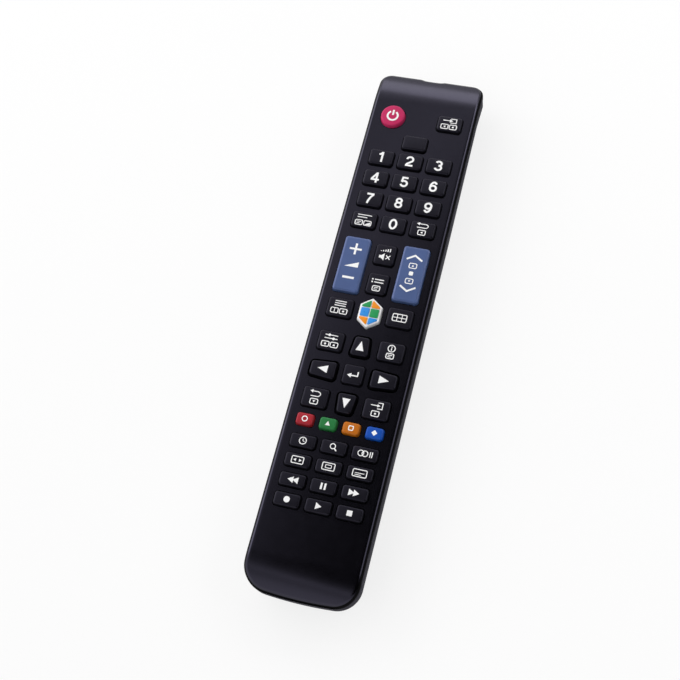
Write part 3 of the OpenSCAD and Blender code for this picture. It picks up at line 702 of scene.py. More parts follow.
class REMOTE_OT_lower_shell(bpy.types.Operator):
    """Lower shell with its battery bay, screw holes, door opening and the grooves of the door"""

    bl_idname = "remote.lower_shell"
    bl_label = "Lower shell"

    def execute(self, context):
        sizes = context.scene.remote_case
        belly, wall, step = sizes.belly, sizes.wall, sizes.shell_step
        lip, foot = 0.2 * MM, 2.2 * MM
        edge_rings, flat_rings = 19, 9
        spread = belly * (1 - np.cos(np.linspace(0, math.pi / 2, edge_rings)))
        deep = np.linspace(belly, HALF_WIDTH - step - CORE, flat_rings + 1)[1:]
        rings = []
        for inset in np.concatenate([spread, deep])[::-1]:
            outline = case_outline(sizes, step + inset)
            rings.append(level(outline, under_height(sizes, outline[:, 1], inset)))
        rings.append(level(case_outline(sizes, step), SEAM_Z - lip))
        rings.append(level(case_outline(sizes, step + CHAMFER), SEAM_Z))
        rings.append(level(case_outline(sizes, wall), SEAM_Z))
        for inset in np.concatenate([spread[::2] * (belly - wall) / belly, deep[1:] - wall]):
            outline = case_outline(sizes, wall + inset)
            rings.append(level(outline, under_height(sizes, outline[:, 1], inset, wall)))
        shell = as_object("lower_shell", loft(rings, SIDE_POINTS))
        half, roof = BAY_HALF, CELL_HIGH[2] + 0.3 * MM
        rear, front = PLATE_LOW[1], PLATE_HIGH[1]
        out, ahead, top = half + sizes.bay_wall, front + sizes.bay_wall, roof + sizes.bay_wall
        carve(shell, block([-out, rear - sizes.bay_wall, foot], [out, ahead, top]), "UNION")
        carve(shell, block([-out, rear + sizes.bay_wall, wall / 2], [out, ahead, foot + 0.1 * MM]), "UNION")
        carve(shell, block([-half, rear, -PAST], [half, front, roof]))
        carve(shell, block([-half, REAR_Y - PAST, -PAST], [half, rear + PAST, wall]))
        groove = DOOR_HIGH[0] + SLIP
        carve(shell, block([-groove, REAR_Y - PAST, TONGUE_LOW - SLIP],
                           [groove, front - 4 * HAIR, TONGUE_HIGH + SLIP]))
        slot = TAB_HALF + SLIP
        carve(shell, block([-slot, front - PAST, TONGUE_LOW - SLIP + HAIR],
                           [slot, DOOR_HIGH[1] + SLIP, wall + 5 * HAIR]))
        screw_y = (SCREW_LOW[1] + SCREW_HIGH[1]) / 2
        head = (SCREW_HIGH[1] - SCREW_LOW[1]) / 2 + 0.2 * MM
        holes = [round_post(side * CELL_X, screw_y, head, roof - PAST, top + PAST) for side in (-1, 1)]
        carve(shell, joined(holes))
        carve(shell, emitter_bore())
        settle(shell, "case", "shell_plastic", shell_finish(context.scene.remote_colours), "bottom_cover")
        return {"FINISHED"}


def door_skin(sizes, x, y):
    """Outer surface of the battery door: the case's underside, with five grip grooves whose depth follows a
    cosine across each and fades at their ends, and a sunk triangle that points the way it slides"""
    grooves, end, half = 5, 0.6 * MM, DOOR_HIGH[0] / 2.2
    mark_long, mark_half, mark_depth, mark_edge = 6 * MM, 4 * MM, 0.25 * MM, 0.3 * MM
    bow_y = REAR_Y + sizes.rear_bow
    base = under_height(sizes, y, sizes.rear_bow - np.hypot(x, y - bow_y) - sizes.shell_step)
    first = DOOR_LOW[1] + 10 * MM
    phase = (y - first) / (2 * sizes.grip)
    inside = (phase > 0) & (phase < grooves) & (phase % 1 < 0.5)
    wave = np.where(inside, 0.5 - 0.5 * np.cos(4 * math.pi * (phase % 1)), 0)
    fade = np.clip((half - np.abs(x)) / end, 0, 1)
    tip = first + 16 * MM
    reach = np.clip((y - tip) / mark_long, 0, 1) * mark_half
    mark = np.clip((reach - np.abs(x)) / mark_edge, 0, 1) * np.clip((tip + mark_long - y) / mark_edge, 0, 1)
    return base + sizes.grip_depth * wave * fade + mark_depth * mark


class REMOTE_OT_battery_door(bpy.types.Operator):
    """Sliding battery door with its grip grooves, tongues and tab"""

    bl_idname = "remote.battery_door"
    bl_label = "Battery door"

    def execute(self, context):
        sizes = context.scene.remote_case
        rows, columns = 321, 61
        half, top = BAY_HALF - SLIP, DOOR_HIGH[2]
        front = PLATE_HIGH[1] - SLIP
        heel = sizes.belly
        rear = REAR_Y + sizes.shell_step + heel - math.sqrt(heel ** 2 - (heel - top + SLIP) ** 2)
        x = np.linspace(-half, half, columns)
        bow = sizes.rear_bow - np.sqrt(sizes.rear_bow ** 2 - x ** 2)
        share = np.linspace(0, 1, rows)[:, None]
        grid_y = (rear + bow) * (1 - share) + front * share
        grid_x = np.broadcast_to(x, grid_y.shape)
        outer = np.stack([grid_x, grid_y, door_skin(sizes, grid_x, grid_y)], axis=2)
        inner = outer.copy()
        inner[:, :, 2] = top
        index = np.arange(rows * columns).reshape(rows, columns)
        under = np.stack([index[:-1, :-1], index[1:, :-1], index[1:, 1:], index[:-1, 1:]], axis=2)
        under = under.reshape(-1, 4)
        over = under[:, ::-1] + rows * columns
        edge = np.concatenate([index[0, :-1], index[:-1, -1], index[-1, :0:-1], index[:0:-1, 0]])
        ahead = np.roll(edge, -1)
        wall = np.stack([edge, ahead, ahead + rows * columns, edge + rows * columns], axis=1)
        points = np.concatenate([outer.reshape(-1, 3), inner.reshape(-1, 3)])
        door = as_object("battery_lid", (points, np.concatenate([under, over, wall]).tolist()))
        reach, root = DOOR_HIGH[0], half - 0.2 * MM
        tongues = [block([left, rear + PAST, TONGUE_LOW], [right, front, TONGUE_HIGH])
                   for left, right in ((-reach, -root), (root, reach))]
        carve(door, joined(tongues), "UNION")
        carve(door, block([-TAB_HALF, front - 2 * PAST, TONGUE_LOW + 5 * HAIR],
                          [TAB_HALF, DOOR_HIGH[1], top - 2 * HAIR]), "UNION")
        finish = shell_finish(context.scene.remote_colours)
        settle(door, "battery_door", "shell_plastic", finish, "battery_door")
        return {"FINISHED"}


# Keys

def cap_rings(corners, radius, low, top, sizes, flange, edge, count=KEY_POINTS, bevel=0.0):
    """Rings of a key cap from its flange up: the outline grown by the flange, then in to the outline, up
    the side with a little draft, and over an arc of the edge's radius to the flat top. With a bevel the arc
    ends at the bevel's slope, which goes on to the top over the bevel's width"""
    shelf, upright = low + sizes.flange_height, FACE_Z - 0.2 * MM
    slope = sizes.bevel_slope if bevel else 0
    last = math.pi / 2 - slope
    centre = top - bevel * math.tan(slope) - edge * math.sin(last)
    profile = [(-flange, low), (-flange, shelf), (0, shelf), (0, upright)]
    profile += [(sizes.draft + edge * (1 - math.cos(angle)), centre + edge * math.sin(angle))
                for angle in np.linspace(0, last, 8)]
    if bevel:
        profile.append((profile[-1][0] + bevel, top))
    return [level(rounded(corners, radius, inset, count), z) for inset, z in profile]


def key_cap(node, sizes, flange, edge, count=KEY_POINTS):
    """Solid of one key cap"""
    corners, radius = key_corners(node, sizes)
    low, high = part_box(node)
    return loft(cap_rings(corners, radius, low.z, high.z, sizes, flange, edge, count))


class REMOTE_OT_pads(bpy.types.Operator):
    """Black rubber keys with round upper edges, the colour keys among them"""

    bl_idname = "remote.pads"
    bl_label = "Rubber keys"

    def execute(self, context):
        sizes, colours = context.scene.remote_keys, context.scene.remote_colours
        tints = {"key_red": colours.red, "key_green": colours.green, "key_orange": colours.orange,
                 "key_blue": colours.blue}
        for node in PADS + list(ARROWS):
            flange = sizes.arrow_flange if node in ARROWS else sizes.flange
            cap = as_object(node + "_cap", key_cap(node, sizes, flange, sizes.edge))
            if node in tints:
                finish = rubber_finish(node + "_tint", tints[node], rough=0.38, specular=0.3, tone=0.06)
                settle(cap, node, node.removeprefix("key_") + "_rubber", finish, node)
            else:
                settle(cap, node, "key_rubber", rubber_finish("black_rubber", colours.key), node)
        return {"FINISHED"}


class REMOTE_OT_power_key(bpy.types.Operator):
    """Round crimson power key"""

    bl_idname = "remote.power_key"
    bl_label = "Power key"

    def execute(self, context):
        sizes, colours = context.scene.remote_keys, context.scene.remote_colours
        cap = as_object("key_power_cap", key_cap("key_power", sizes, sizes.flange, sizes.edge, ROUND_POINTS))
        finish = rubber_finish("crimson_rubber", colours.power, rough=0.35, specular=0.2, tone=0.06)
        settle(cap, "key_power", "power_red", finish, "key_power")
        return {"FINISHED"}


class REMOTE_OT_rockers(bpy.types.Operator):
    """Slate blue volume and programme rockers with their trunnions"""

    bl_idname = "remote.rockers"
    bl_label = "Rockers"

    def execute(self, context):
        sizes, colours = context.scene.remote_keys, context.scene.remote_colours
        edge, sharp, pin = 0.4 * sizes.edge, 15, sizes.flange_height / 2
        finish = rubber_finish("slate_blue_rubber", colours.rocker, rough=0.34, specular=0.5, tone=0.05)
        for node in ROCKERS:
            low, high = box_of(node)
            y = (low[1] + high[1]) / 2
            corners, radius = key_corners(node, sizes)
            rings = cap_rings(corners, radius, low[2], high[2], sizes, flange=0, edge=edge, bevel=sizes.bevel)
            cap = as_object(node + "_cap", loft(rings), sharp)
            axle = block([low[0], y - pin, low[2] + HAIR], [high[0], y + pin, low[2] + 2 * pin])
            carve(cap, axle, "UNION", sharp)
            settle(cap, node, "rocker_blue", finish, node)
        return {"FINISHED"}


class REMOTE_OT_hub_key(bpy.types.Operator):
    """Six-sided white hub key with six coloured tiles"""

    bl_idname = "remote.hub_key"
    bl_label = "Hub key"

    def execute(self, context):
        sizes, colours = context.scene.remote_keys, context.scene.remote_colours
        low, high = box_of("key_hub")
        middle, top = (low + high)[:2] / 2, high[2]
        stand, rim, gap, corner = 0.3 * MM, 1.05 * MM, 0.2 * MM, 0.35 * MM
        corners, radius = key_corners("key_hub", sizes)
        rings = cap_rings(corners, radius, low[2], top - stand, sizes, sizes.flange, edge=0.5 * sizes.edge)
        cap = as_object("key_hub_cap", loft(rings))
        enamel = moulded("hub_enamel", colours.hub, rough=0.35, spread=0.04, grain=0.2 * MM, depth=0.003 * MM,
                         tone=0.03)
        settle(cap, "key_hub", "hub_white", enamel, "key_hub")
        wide, tall = (high - low)[:2] / 2 - sizes.flange - rim
        row = tall * 0.36
        peak, shoulder = tall - tall / 2 / wide * gap, tall / 2 + 0.1 * MM
        shapes = {
            "upper": [[gap, row + gap], [wide, row + gap], [wide, shoulder], [gap, peak]],
            "middle": [[gap, -row + gap], [wide, -row + gap], [wide, row - gap], [gap, row - gap]],
            "lower": [[gap, -peak], [wide, -shoulder], [wide, -row - gap], [gap, -row - gap]],
        }
        places = {"orange": (("upper", 1), ("lower", -1)), "green": (("upper", -1), ("middle", 1)),
                  "blue": (("middle", -1), ("lower", 1))}
        tints = {"orange": colours.sun, "green": colours.leaf, "blue": colours.sky}
        edge = ((0, top - 0.4 * MM), (0, top - 0.1 * MM), (0.1 * MM, top - 0.02 * MM), (0.2 * MM, top))
        for name, colour in tints.items():
            solids = []
            for shape, side in places[name]:
                outline = middle + (np.array(shapes[shape]) * np.array([side, 1]))[::side]
                solids.append(loft([level(rounded(outline, corner, inset, 6), z) for inset, z in edge]))
            tiles = as_object("hub_tiles_" + name, joined(solids))
            finish = moulded(name + "_tile", colour, rough=0.3, spread=0.03, grain=0.2 * MM, depth=0.002 * MM,
                             tone=0.05)
            settle(tiles, "key_hub", "hub_white", finish)
        return {"FINISHED"}


# Prints

def line(*points, width=0.4):
    """Open stroke through points, in millimetres"""
    return "line", np.array(points, float), width


def curve(path, width=0.4):
    """Open stroke along a path"""
    return "line", path, width


def plate(*points):
    """Filled shape through points given anticlockwise"""
    return "plate", np.array(points, float), 0


def disc(x, y, radius):
    """Filled circle"""
    return "plate", ellipse(x, y, radius, radius, 0, 360, 25)[:-1], 0


def ring(x, y, radius, width=0.4):
    """Circle as a stroke"""
    return "loop", ellipse(x, y, radius, radius, 0, 360, 33)[:-1], width


def frame_of(x, y, wide, tall, width=0.36, radius=0.5):
    """Rectangle with round corners as a stroke"""
    return "loop", rounded(rectangle(x, y, wide, tall), radius, 0, 6), width


def slid(strokes, x, y):
    """Strokes carried along by (x, y)"""
    return [(kind, points + np.array([x, y]), width) for kind, points, width in strokes]


def ribbon(path, width, closed, low, high):
    """Bar along a path: each point gives a point to its left and right at half the width along the mean
    normal of the pieces before and after it, longer at a bend by 1 / cos of half its angle, at most
    twofold"""
    least = 0.5
    step = np.roll(path, -1, axis=0) - path
    if not closed:
        step[-1] = step[-2]
    step = step / np.linalg.norm(step, axis=1, keepdims=True)
    before = np.roll(step, 1, axis=0)
    if not closed:
        before[0] = step[0]
    mean = step + before
    mean = mean / np.linalg.norm(mean, axis=1, keepdims=True)
    stretch = 1 / np.clip((mean * step).sum(axis=1, keepdims=True), least, 1)
    normal = np.column_stack([-mean[:, 1], mean[:, 0]]) * stretch * width / 2
    left, right = path + normal, path - normal
    corners = np.stack([level(right, low), level(right, high), level(left, high), level(left, low)], axis=1)
    count = len(path)
    here = np.arange(count if closed else count - 1)
    there = (here + 1) % count
    sides = [np.stack([4 * here + a, 4 * there + a, 4 * there + b, 4 * here + b], axis=1)
             for a, b in ((0, 1), (1, 2), (2, 3), (3, 0))]
    faces = np.concatenate(sides).tolist()
    if not closed:
        last = 4 * (count - 1)
        faces += [[0, 1, 2, 3], [last + 3, last + 2, last + 1, last]]
    return corners.reshape(-1, 3), faces


def printed(strokes, x, y, low, high):
    """Solids of strokes given in millimetres about a place in metres, each a hair higher than the one
    before, so that no two of their upper faces lie in one plane"""
    lift = 0.003 * MM
    solids = []
    for order, (kind, points, width) in enumerate(strokes):
        path = points * MM + np.array([x, y])
        top = high + lift * order
        if kind == "plate":
            solids.append(prism(path, low, top))
        else:
            solids.append(ribbon(path, width * MM, kind == "loop", low, top))
    return joined(solids)


def digit_paths(number):
    """Strokes of a digit one unit high, of lines and ellipse arcs along the middle of its strokes"""
    h, w = 0.41, 0.265
    six = [("loop", ellipse(0.0, -0.16, 0.255, 0.25, 0, 360, 41)[:-1]),
           ("line", ellipse(0.03, -0.1, 0.285, 0.51, 42, 182, 33))]
    shapes = {
        0: [("loop", ellipse(0, 0, w, h, 0, 360, 49)[:-1])],
        1: [("line", np.array([[-0.2, 0.23], [-0.04, 0.30], [0.05, 0.42]])),
            ("line", np.array([[0.08, 0.5], [0.08, -0.5]]))],
        2: [("line", np.concatenate([ellipse(0, 0.165, w, 0.245, 175, -38, 33),
                                     [[-0.19, -0.27], [-0.24, -0.37]]])),
            ("line", np.array([[-0.335, -0.41], [0.32, -0.41]]))],
        3: [("line", ellipse(-0.01, 0.205, 0.235, 0.205, 160, -90, 33)),
            ("line", ellipse(-0.01, -0.19, 0.27, 0.22, 90, -165, 33))],
        4: [("line", np.array([[0.1, 0.5], [0.1, -0.5]])), ("line", np.array([[0.07, 0.43], [-0.3, -0.15]])),
            ("line", np.array([[-0.39, -0.2], [0.33, -0.2]]))],
        5: [("line", np.array([[-0.22, 0.41], [0.28, 0.41]])),
            ("line", np.array([[-0.16, 0.48], [-0.225, -0.01]])),
            ("line", ellipse(-0.01, -0.155, 0.27, 0.255, 145, -162, 33))],
        6: six,
        7: [("line", np.array([[-0.31, 0.41], [0.31, 0.41]])),
            ("line", np.array([[0.25, 0.4], [0.07, 0.15], [-0.05, -0.1], [-0.12, -0.32], [-0.15, -0.5]]))],
        8: [("loop", ellipse(0, 0.215, 0.215, 0.195, 0, 360, 41)[:-1]),
            ("loop", ellipse(0, -0.19, 0.255, 0.22, 0, 360, 41)[:-1])],
        9: [(kind, -path) for kind, path in six],
    }
    return shapes[number]


def triangle(x, y, size, turn):
    """Filled triangle that points along turn, in degrees"""
    angle = np.radians(turn + np.array([0, 120, 240]))
    return plate(*np.column_stack([x + size * np.cos(angle), y + size * np.sin(angle)]))


def arrow(x, y, long, turn, width=0.42, head=0.85):
    """Stroke with a triangle at its end"""
    a = math.radians(turn)
    way = np.array([math.cos(a), math.sin(a)])
    tip = np.array([x, y]) + way * long / 2
    neck = tip - way * head * 0.6
    return [line([x, y] - way * long / 2, neck, width=width), triangle(*neck, head, turn)]


def screen(x, y, inside=()):
    """Small screen: a frame with something inside"""
    return [frame_of(x, y, 3.0, 2.1)] + slid(list(inside), x, y)


def pictograms():
    """Print of each key, in millimetres about its middle"""
    thin, fine = 0.36, 0.28
    text_lines = [line([-0.9, 0.35], [0.9, 0.35], width=fine), line([-0.9, -0.35], [0.4, -0.35], width=fine)]
    speaker = [plate([-2.2, -0.6], [-1.3, -0.6], [-0.1, -1.6], [-0.1, 1.6], [-1.3, 0.6], [-2.2, 0.6])]
    cross = [line([0.6, -0.85], [2.3, 0.85]), line([0.6, 0.85], [2.3, -0.85])]
    steps = [line([x, 1.3], [x, 2.2 + 0.35 * x], width=0.45) for x in (-1.8, -0.9, 0, 0.9, 1.8)]
    bars = [line([-2.3, y], [2.3, y], width=thin) for y in (-0.95, 0, 0.95)]
    bullets = [disc(-2.2, y, 0.34) for y in (0.45, 1.65)]
    rows = [line([-1.3, y], [2.4, y], width=0.42) for y in (0.45, 1.65)]
    grid = [frame_of(0, 0, 5.6, 3.0, thin, 0.5), line([-0.95, -1.4], [-0.95, 1.4], width=fine),
            line([0.95, -1.4], [0.95, 1.4], width=fine), line([-2.7, 0], [2.7, 0], width=fine)]
    play, back = triangle(0, 0, 1.5, 0), triangle(0, 0, 1.5, 180)
    point = np.array([[-1.6, -1.9], [1.6, -1.9], [0, 2.1]])
    quarter = np.array([[0, 1], [-1, 0]])
    return {
        "key_source": slid([line([-2.9, 0], [0.2, 0], width=thin), triangle(0.4, 0, 0.9, 0),
                            line([0.3, 0.95], [2.7, 0.95], [2.7, -0.95], [0.3, -0.95], width=thin)], 0, 1.35)
        + screen(-1.8, -1.6, [triangle(0.1, 0, 0.6, 180)]) + screen(1.8, -1.6, [disc(0, 0, 0.42)]),
        "key_text": slid([line([-2.9, 0.55], [2.9, 0.55], width=thin),
                          line([-2.9, -0.55], [1.2, -0.55], width=thin)], 0, 1.4)
        + screen(-1.8, -1.6, text_lines)
        + screen(1.8, -1.6, [plate([-1.2, -0.75], [1.15, -0.75], [1.15, 0.6])]),
        "key_previous": slid([curve(ellipse(0.9, 0, 1.2, 0.85, 90, -90, 21), thin),
                              line([0.9, 0.85], [-1.6, 0.85], width=thin),
                              line([0.9, -0.85], [-2.4, -0.85], width=thin),
                              triangle(-1.9, 0.85, 0.8, 180)], 0, 1.4)
        + screen(0, -1.6, [triangle(0.1, 0, 0.6, 180)]),
        "key_mute": steps + slid(speaker + cross, 0, -1.1),
        "key_list": bullets + rows + screen(0, -2.2, text_lines),
        "key_menu": slid(bars, 0, 1.5) + screen(-1.8, -1.7, [line([0, -0.9], [0, 0.9], width=fine)])
        + screen(1.8, -1.7, [disc(0, 0, 0.42)]),
        "key_guide": grid,
        "key_tools": slid([line([-2.6, 0.7], [2.6, 0.7], width=thin),
                           line([-2.6, -0.7], [2.6, -0.7], width=thin),
                           disc(-0.9, 0.7, 0.55), disc(1.0, -0.7, 0.55)], 0, 1.5)
        + screen(-1.8, -1.7, [disc(0, 0, 0.42)]) + screen(1.8, -1.7, [triangle(0, -0.1, 0.6, 90)]),
        "key_info": slid([ring(0, 0, 1.4, thin), disc(0, 0.65, 0.26),
                          line([0, 0.15], [0, -0.85], width=0.42)], 0, 1.4)
        + screen(0, -1.8, text_lines),
        "key_return": slid([curve(ellipse(0.6, -0.2, 1.3, 1.0, 90, -90, 21), thin),
                            line([0.6, 0.8], [-1.3, 0.8], width=thin),
                            line([0.6, -1.2], [-1.8, -1.2], width=thin),
                            triangle(-1.6, 0.8, 0.8, 180)], 0, 1.5)
        + screen(0, -1.8, [triangle(0, 0.1, 0.6, 270)]),
        "key_exit": slid([line([0.3, 1.2], [2.2, 1.2], [2.2, -1.2], [0.3, -1.2], width=thin)]
                         + arrow(-0.7, 0, 3.4, 0, thin, 0.8), 0, 1.5) + screen(0, -1.8, [disc(0, 0, 0.42)]),
        "key_ok": [line([1.9, 1.3], [1.9, -0.5], [-1.2, -0.5], width=0.5), triangle(-1.2, -0.5, 1.1, 180)],
        "key_up": [plate(*point)],
        "key_down": [plate(*-point)],
        "key_left": [plate(*point @ quarter)],
        "key_right": [plate(*point @ -quarter)],
        "key_red": [ring(0, 0, 1.0, 0.4)],
        "key_green": [triangle(0, -0.25, 1.15, 90)],
        "key_orange": [frame_of(0, 0, 1.7, 1.7, 0.4, 0.3)],
        "key_blue": [plate([0, -1.15], [1.15, 0], [0, 1.15], [-1.15, 0])],
        "key_timer": [ring(0, 0, 1.35, thin), line([0, 0.85], [0, 0], [0.7, -0.35], width=fine)],
        "key_search": [ring(-0.35, 0.3, 1.0, thin), line([0.4, -0.45], [1.3, -1.35], width=0.5)],
        "key_dual": [ring(-1.5, 0, 1.1, thin), ring(0.1, 0, 1.1, thin),
                     line([2.1, 1.1], [2.1, -1.1], width=thin),
                     line([2.9, 1.1], [2.9, -1.1], width=thin)],
        "key_zoom": [frame_of(0, 0, 4.6, 2.7, thin, 0.4), triangle(0.95, 0, 0.7, 0),
                     triangle(-0.95, 0, 0.7, 180)],
        "key_size": [frame_of(0, 0, 4.8, 2.8, thin, 0.4), frame_of(0, 0, 2.3, 1.2, fine, 0.2)],
        "key_subtitle": [frame_of(0, 0, 5.4, 2.8, thin, 0.5), line([-1.8, 0.0], [1.8, 0.0], width=fine),
                         line([-1.8, -0.7], [0.6, -0.7], width=fine)],
        "key_rewind": slid([back], -0.3, 0) + slid([back], 1.6, 0),
        "key_pause": [plate([-1.1, -1.25], [-0.35, -1.25], [-0.35, 1.25], [-1.1, 1.25]),
                      plate([0.35, -1.25], [1.1, -1.25], [1.1, 1.25], [0.35, 1.25])],
        "key_forward": slid([play], -1.6, 0) + slid([play], 0.3, 0),
        "key_record": [disc(0, 0, 1.2)],
        "key_play": [triangle(-0.2, 0, 1.55, 0)],
        "key_stop": [plate([-1.05, -1.05], [1.05, -1.05], [1.05, 1.05], [-1.05, 1.05])],
        "key_power": [curve(ellipse(0, -0.2, 2.15, 2.15, 122, 418, 49), 0.8),
                      line([0, 2.6], [0, 0.1], width=0.8)],
        "rocker_volume": slid([line([-2.5, 0], [2.5, 0], width=0.85),
                               line([0, 2.5], [0, -2.5], width=0.85)], 0, 6.7)
        + [plate([-2.8, -1.3], [2.8, -1.3], [2.8, 1.1])] + [line([-2.4, -6.1], [2.4, -6.1], width=0.95)],
        "rocker_programme": [line([-3.2, 6.3], [0, 8.3], [3.2, 6.3], width=0.75),
                             line([-3.2, -5.5], [0, -7.5], [3.2, -5.5], width=0.75)]
        + screen(0, 3.7, [triangle(0, -0.1, 0.55, 90)]) + screen(0, -3.1, [triangle(0, 0.1, 0.55, 270)])
        + [plate(*rounded(rectangle(0, 0.3, 1.7, 1.7), 0.4, 0, 6))],
    }


class REMOTE_OT_prints(bpy.types.Operator):
    """White prints on the keys: digits and plain pictograms"""

    bl_idname = "remote.prints"
    bl_label = "Prints"

    def execute(self, context):
        sizes = context.scene.remote_keys
        ink = ink_finish(context.scene.remote_colours)
        prints = pictograms()
        tall, stroke = sizes.digit / MM, sizes.digit_stroke / MM
        sunk = 0.02 * MM
        for number in range(10):
            prints["key_" + str(number)] = [(kind, path * tall, stroke) for kind, path in digit_paths(number)]
        for node, strokes in prints.items():
            low, high = box_of(node)
            x, y = (low + high)[:2] / 2
            solid = printed(strokes, x, y, high[2] - sunk, high[2] + sizes.print_height)
            settle(as_object(node + "_print", solid), node, "hub_white", ink)
        return {"FINISHED"}


# Inner parts

def cell_finish(name, along):
    """Printed sleeve of a cell: copper at its positive end and dark grey along the rest, split by a place
    on Y"""
    material, shader = shader_of(name)
    if shader is None:
        return material
    grey, copper = (0.03, 0.03, 0.034), (0.55, 0.25, 0.10)
    tree = material.node_tree
    place = tree.nodes.new("ShaderNodeTexCoord")
    split = tree.nodes.new("ShaderNodeSeparateXYZ")
    tree.links.new(place.outputs["Object"], split.inputs["Vector"])
    share = tree.nodes.new("ShaderNodeMapRange")
    share.inputs["From Min"].default_value = along[0]
    share.inputs["From Max"].default_value = along[1]
    tree.links.new(split.outputs["Y"], share.inputs["Value"])
    blend(material, share.outputs["Result"], grey, copper, shader.inputs["Base Color"], 0.68, 0.685)
    vary(material, noise(material, 3 * MM), 0.24, 0.36, shader.inputs["Roughness"])
    relief(material, shader, noise(material, 0.8 * MM), 0.006 * MM)
    shader.inputs["Metallic"].default_value = 0.6
    return material


def cell_solid(radius, long):
    """Cell along +Y from the origin: a sleeve with rolled ends, a sunk flat end and a stepped nub"""
    roll, sunk, groove = 0.35 * MM, 0.15 * MM, 0.25 * MM
    body = long - 1 * MM
    quarter = np.linspace(0, math.pi / 2, 6)
    foot = np.column_stack([radius - roll + roll * np.sin(quarter), roll - roll * np.cos(quarter)])
    head = np.column_stack([radius - roll + roll * np.cos(quarter), body - roll + roll * np.sin(quarter)])
    base = [[0.3 * radius, sunk], [radius - 1.0 * MM, sunk], [radius - 0.9 * MM, 0]]
    nub = [[0.72 * radius, body], [0.70 * radius, body - groove], [0.40 * radius, body - groove],
           [0.37 * radius, body], [0.36 * radius, long - groove], [0.30 * radius, long], [0.1 * radius, long]]
    return turned(np.concatenate([base, foot, head, nub]), 64)


class REMOTE_OT_cells(bpy.types.Operator):
    """Two cells that lie head to tail in the bay"""

    bl_idname = "remote.cells"
    bl_label = "Cells"

    def execute(self, context):
        for node, way in (("cell_left", -1), ("cell_right", 1)):
            low, high = box_of(node)
            middle = (low + high) / 2
            points, faces = cell_solid((high[2] - low[2]) / 2, high[1] - low[1])
            if way < 0:
                points = points * np.array([-1, -1, 1])
            flat = low[1] if way > 0 else high[1]
            made = as_object(node + "_sleeve", (points + np.array([middle[0], flat, middle[2]]), faces))
            along = (low[1], high[1]) if way > 0 else (high[1], low[1])
            settle(made, "case", "cell", cell_finish(node + "_foil", along), node)
        return {"FINISHED"}


def spring_solid(foot, radius, wire, tall, turns, way):
    """Conical wire spring along Y from its foot, the way that way says: the wire's middle runs at angle 2
    pi turns u, at the height of one wire plus tall times u and at (1 - 0.4 u) times the radius, and its
    section is a circle in the plane through the axis"""
    steps, sides, taper = 36, 12, 0.4
    share = np.linspace(0, 1, int(steps * turns) + 1)
    angle = 2 * math.pi * turns * share
    around = np.linspace(0, 2 * math.pi, sides, endpoint=False)
    out = (radius * (1 - taper * share))[:, None] + wire / 2 * np.cos(around)
    up = (wire + tall * share)[:, None] + wire / 2 * np.sin(around)
    points = np.stack([out * np.cos(angle)[:, None], way * up, out * np.sin(angle)[:, None]], axis=2)
    return moved(loft(points[:, ::way]), *foot)


class REMOTE_OT_springs(bpy.types.Operator):
    """Conical contact springs, one for each cell"""

    bl_idname = "remote.springs"
    bl_label = "Contact springs"

    def execute(self, context):
        z = (CELL_LOW[2] + CELL_HIGH[2]) / 2
        radius, wire, tall, turns, sharp = 3.25 * MM, 0.5 * MM, 2.9 * MM, 3.5, 60
        feet = (((-CELL_X, PLATE_HIGH[1] - wire, z), -1), ((CELL_X, PLATE_LOW[1] + wire, z), 1))
        made = as_object("coil_springs", joined([spring_solid(foot, radius, wire, tall, turns, way)
                                                 for foot, way in feet]), sharp)
        steel = steel_finish("spring_wire", (0.62, 0.62, 0.63), rough=0.3)
        settle(made, "case", "contact_steel", steel, "contact_springs")
        return {"FINISHED"}


class REMOTE_OT_emitter(bpy.types.Operator):
    """Dark tinted emitter with its round nose and two bent leads"""

    bl_idname = "remote.emitter"
    bl_label = "Emitter"

    def execute(self, context):
        radius, tip, back = EMITTER_RADIUS, EMITTER_HIGH[1], EMITTER_LOW[1]
        straight, lead = 4.4 * MM, 0.25 * MM
        foot = tip - radius - straight
        quarter = np.linspace(0, math.pi / 2, 13)[:-1]
        nose = np.column_stack([radius * np.cos(quarter), tip - radius + radius * np.sin(quarter)])
        bulb = moved(turned(np.concatenate([[[radius, foot]], nose, [[0.04 * radius, tip]]])), z=SEAM_Z)
        bend = [[back, SEAM_Z - lead], [foot + HAIR, SEAM_Z - lead], [foot + HAIR, SEAM_Z + lead],
                [back + 2 * lead, SEAM_Z + lead], [back + 2 * lead, BOARD_Z], [back, BOARD_Z]]
        leads = []
        for x in (-radius / 2, radius / 2):
            sides = [np.column_stack([np.full(len(bend), x + half), bend]) for half in (-lead, lead)]
            leads.append(loft(sides))
        made = as_object("emitter_bulb", joined([bulb] + leads))
        material, shader = shader_of("tinted_resin")
        if shader:
            blend(material, noise(material, 2 * MM), (0.010, 0.006, 0.016), (0.020, 0.012, 0.030),
                  shader.inputs["Base Color"])
            vary(material, noise(material, 1 * MM), 0.08, 0.14, shader.inputs["Roughness"])
            relief(material, shader, noise(material, 0.5 * MM), 0.002 * MM)
        settle(made, "case", "emitter", material, "ir_led")
        return {"FINISHED"}


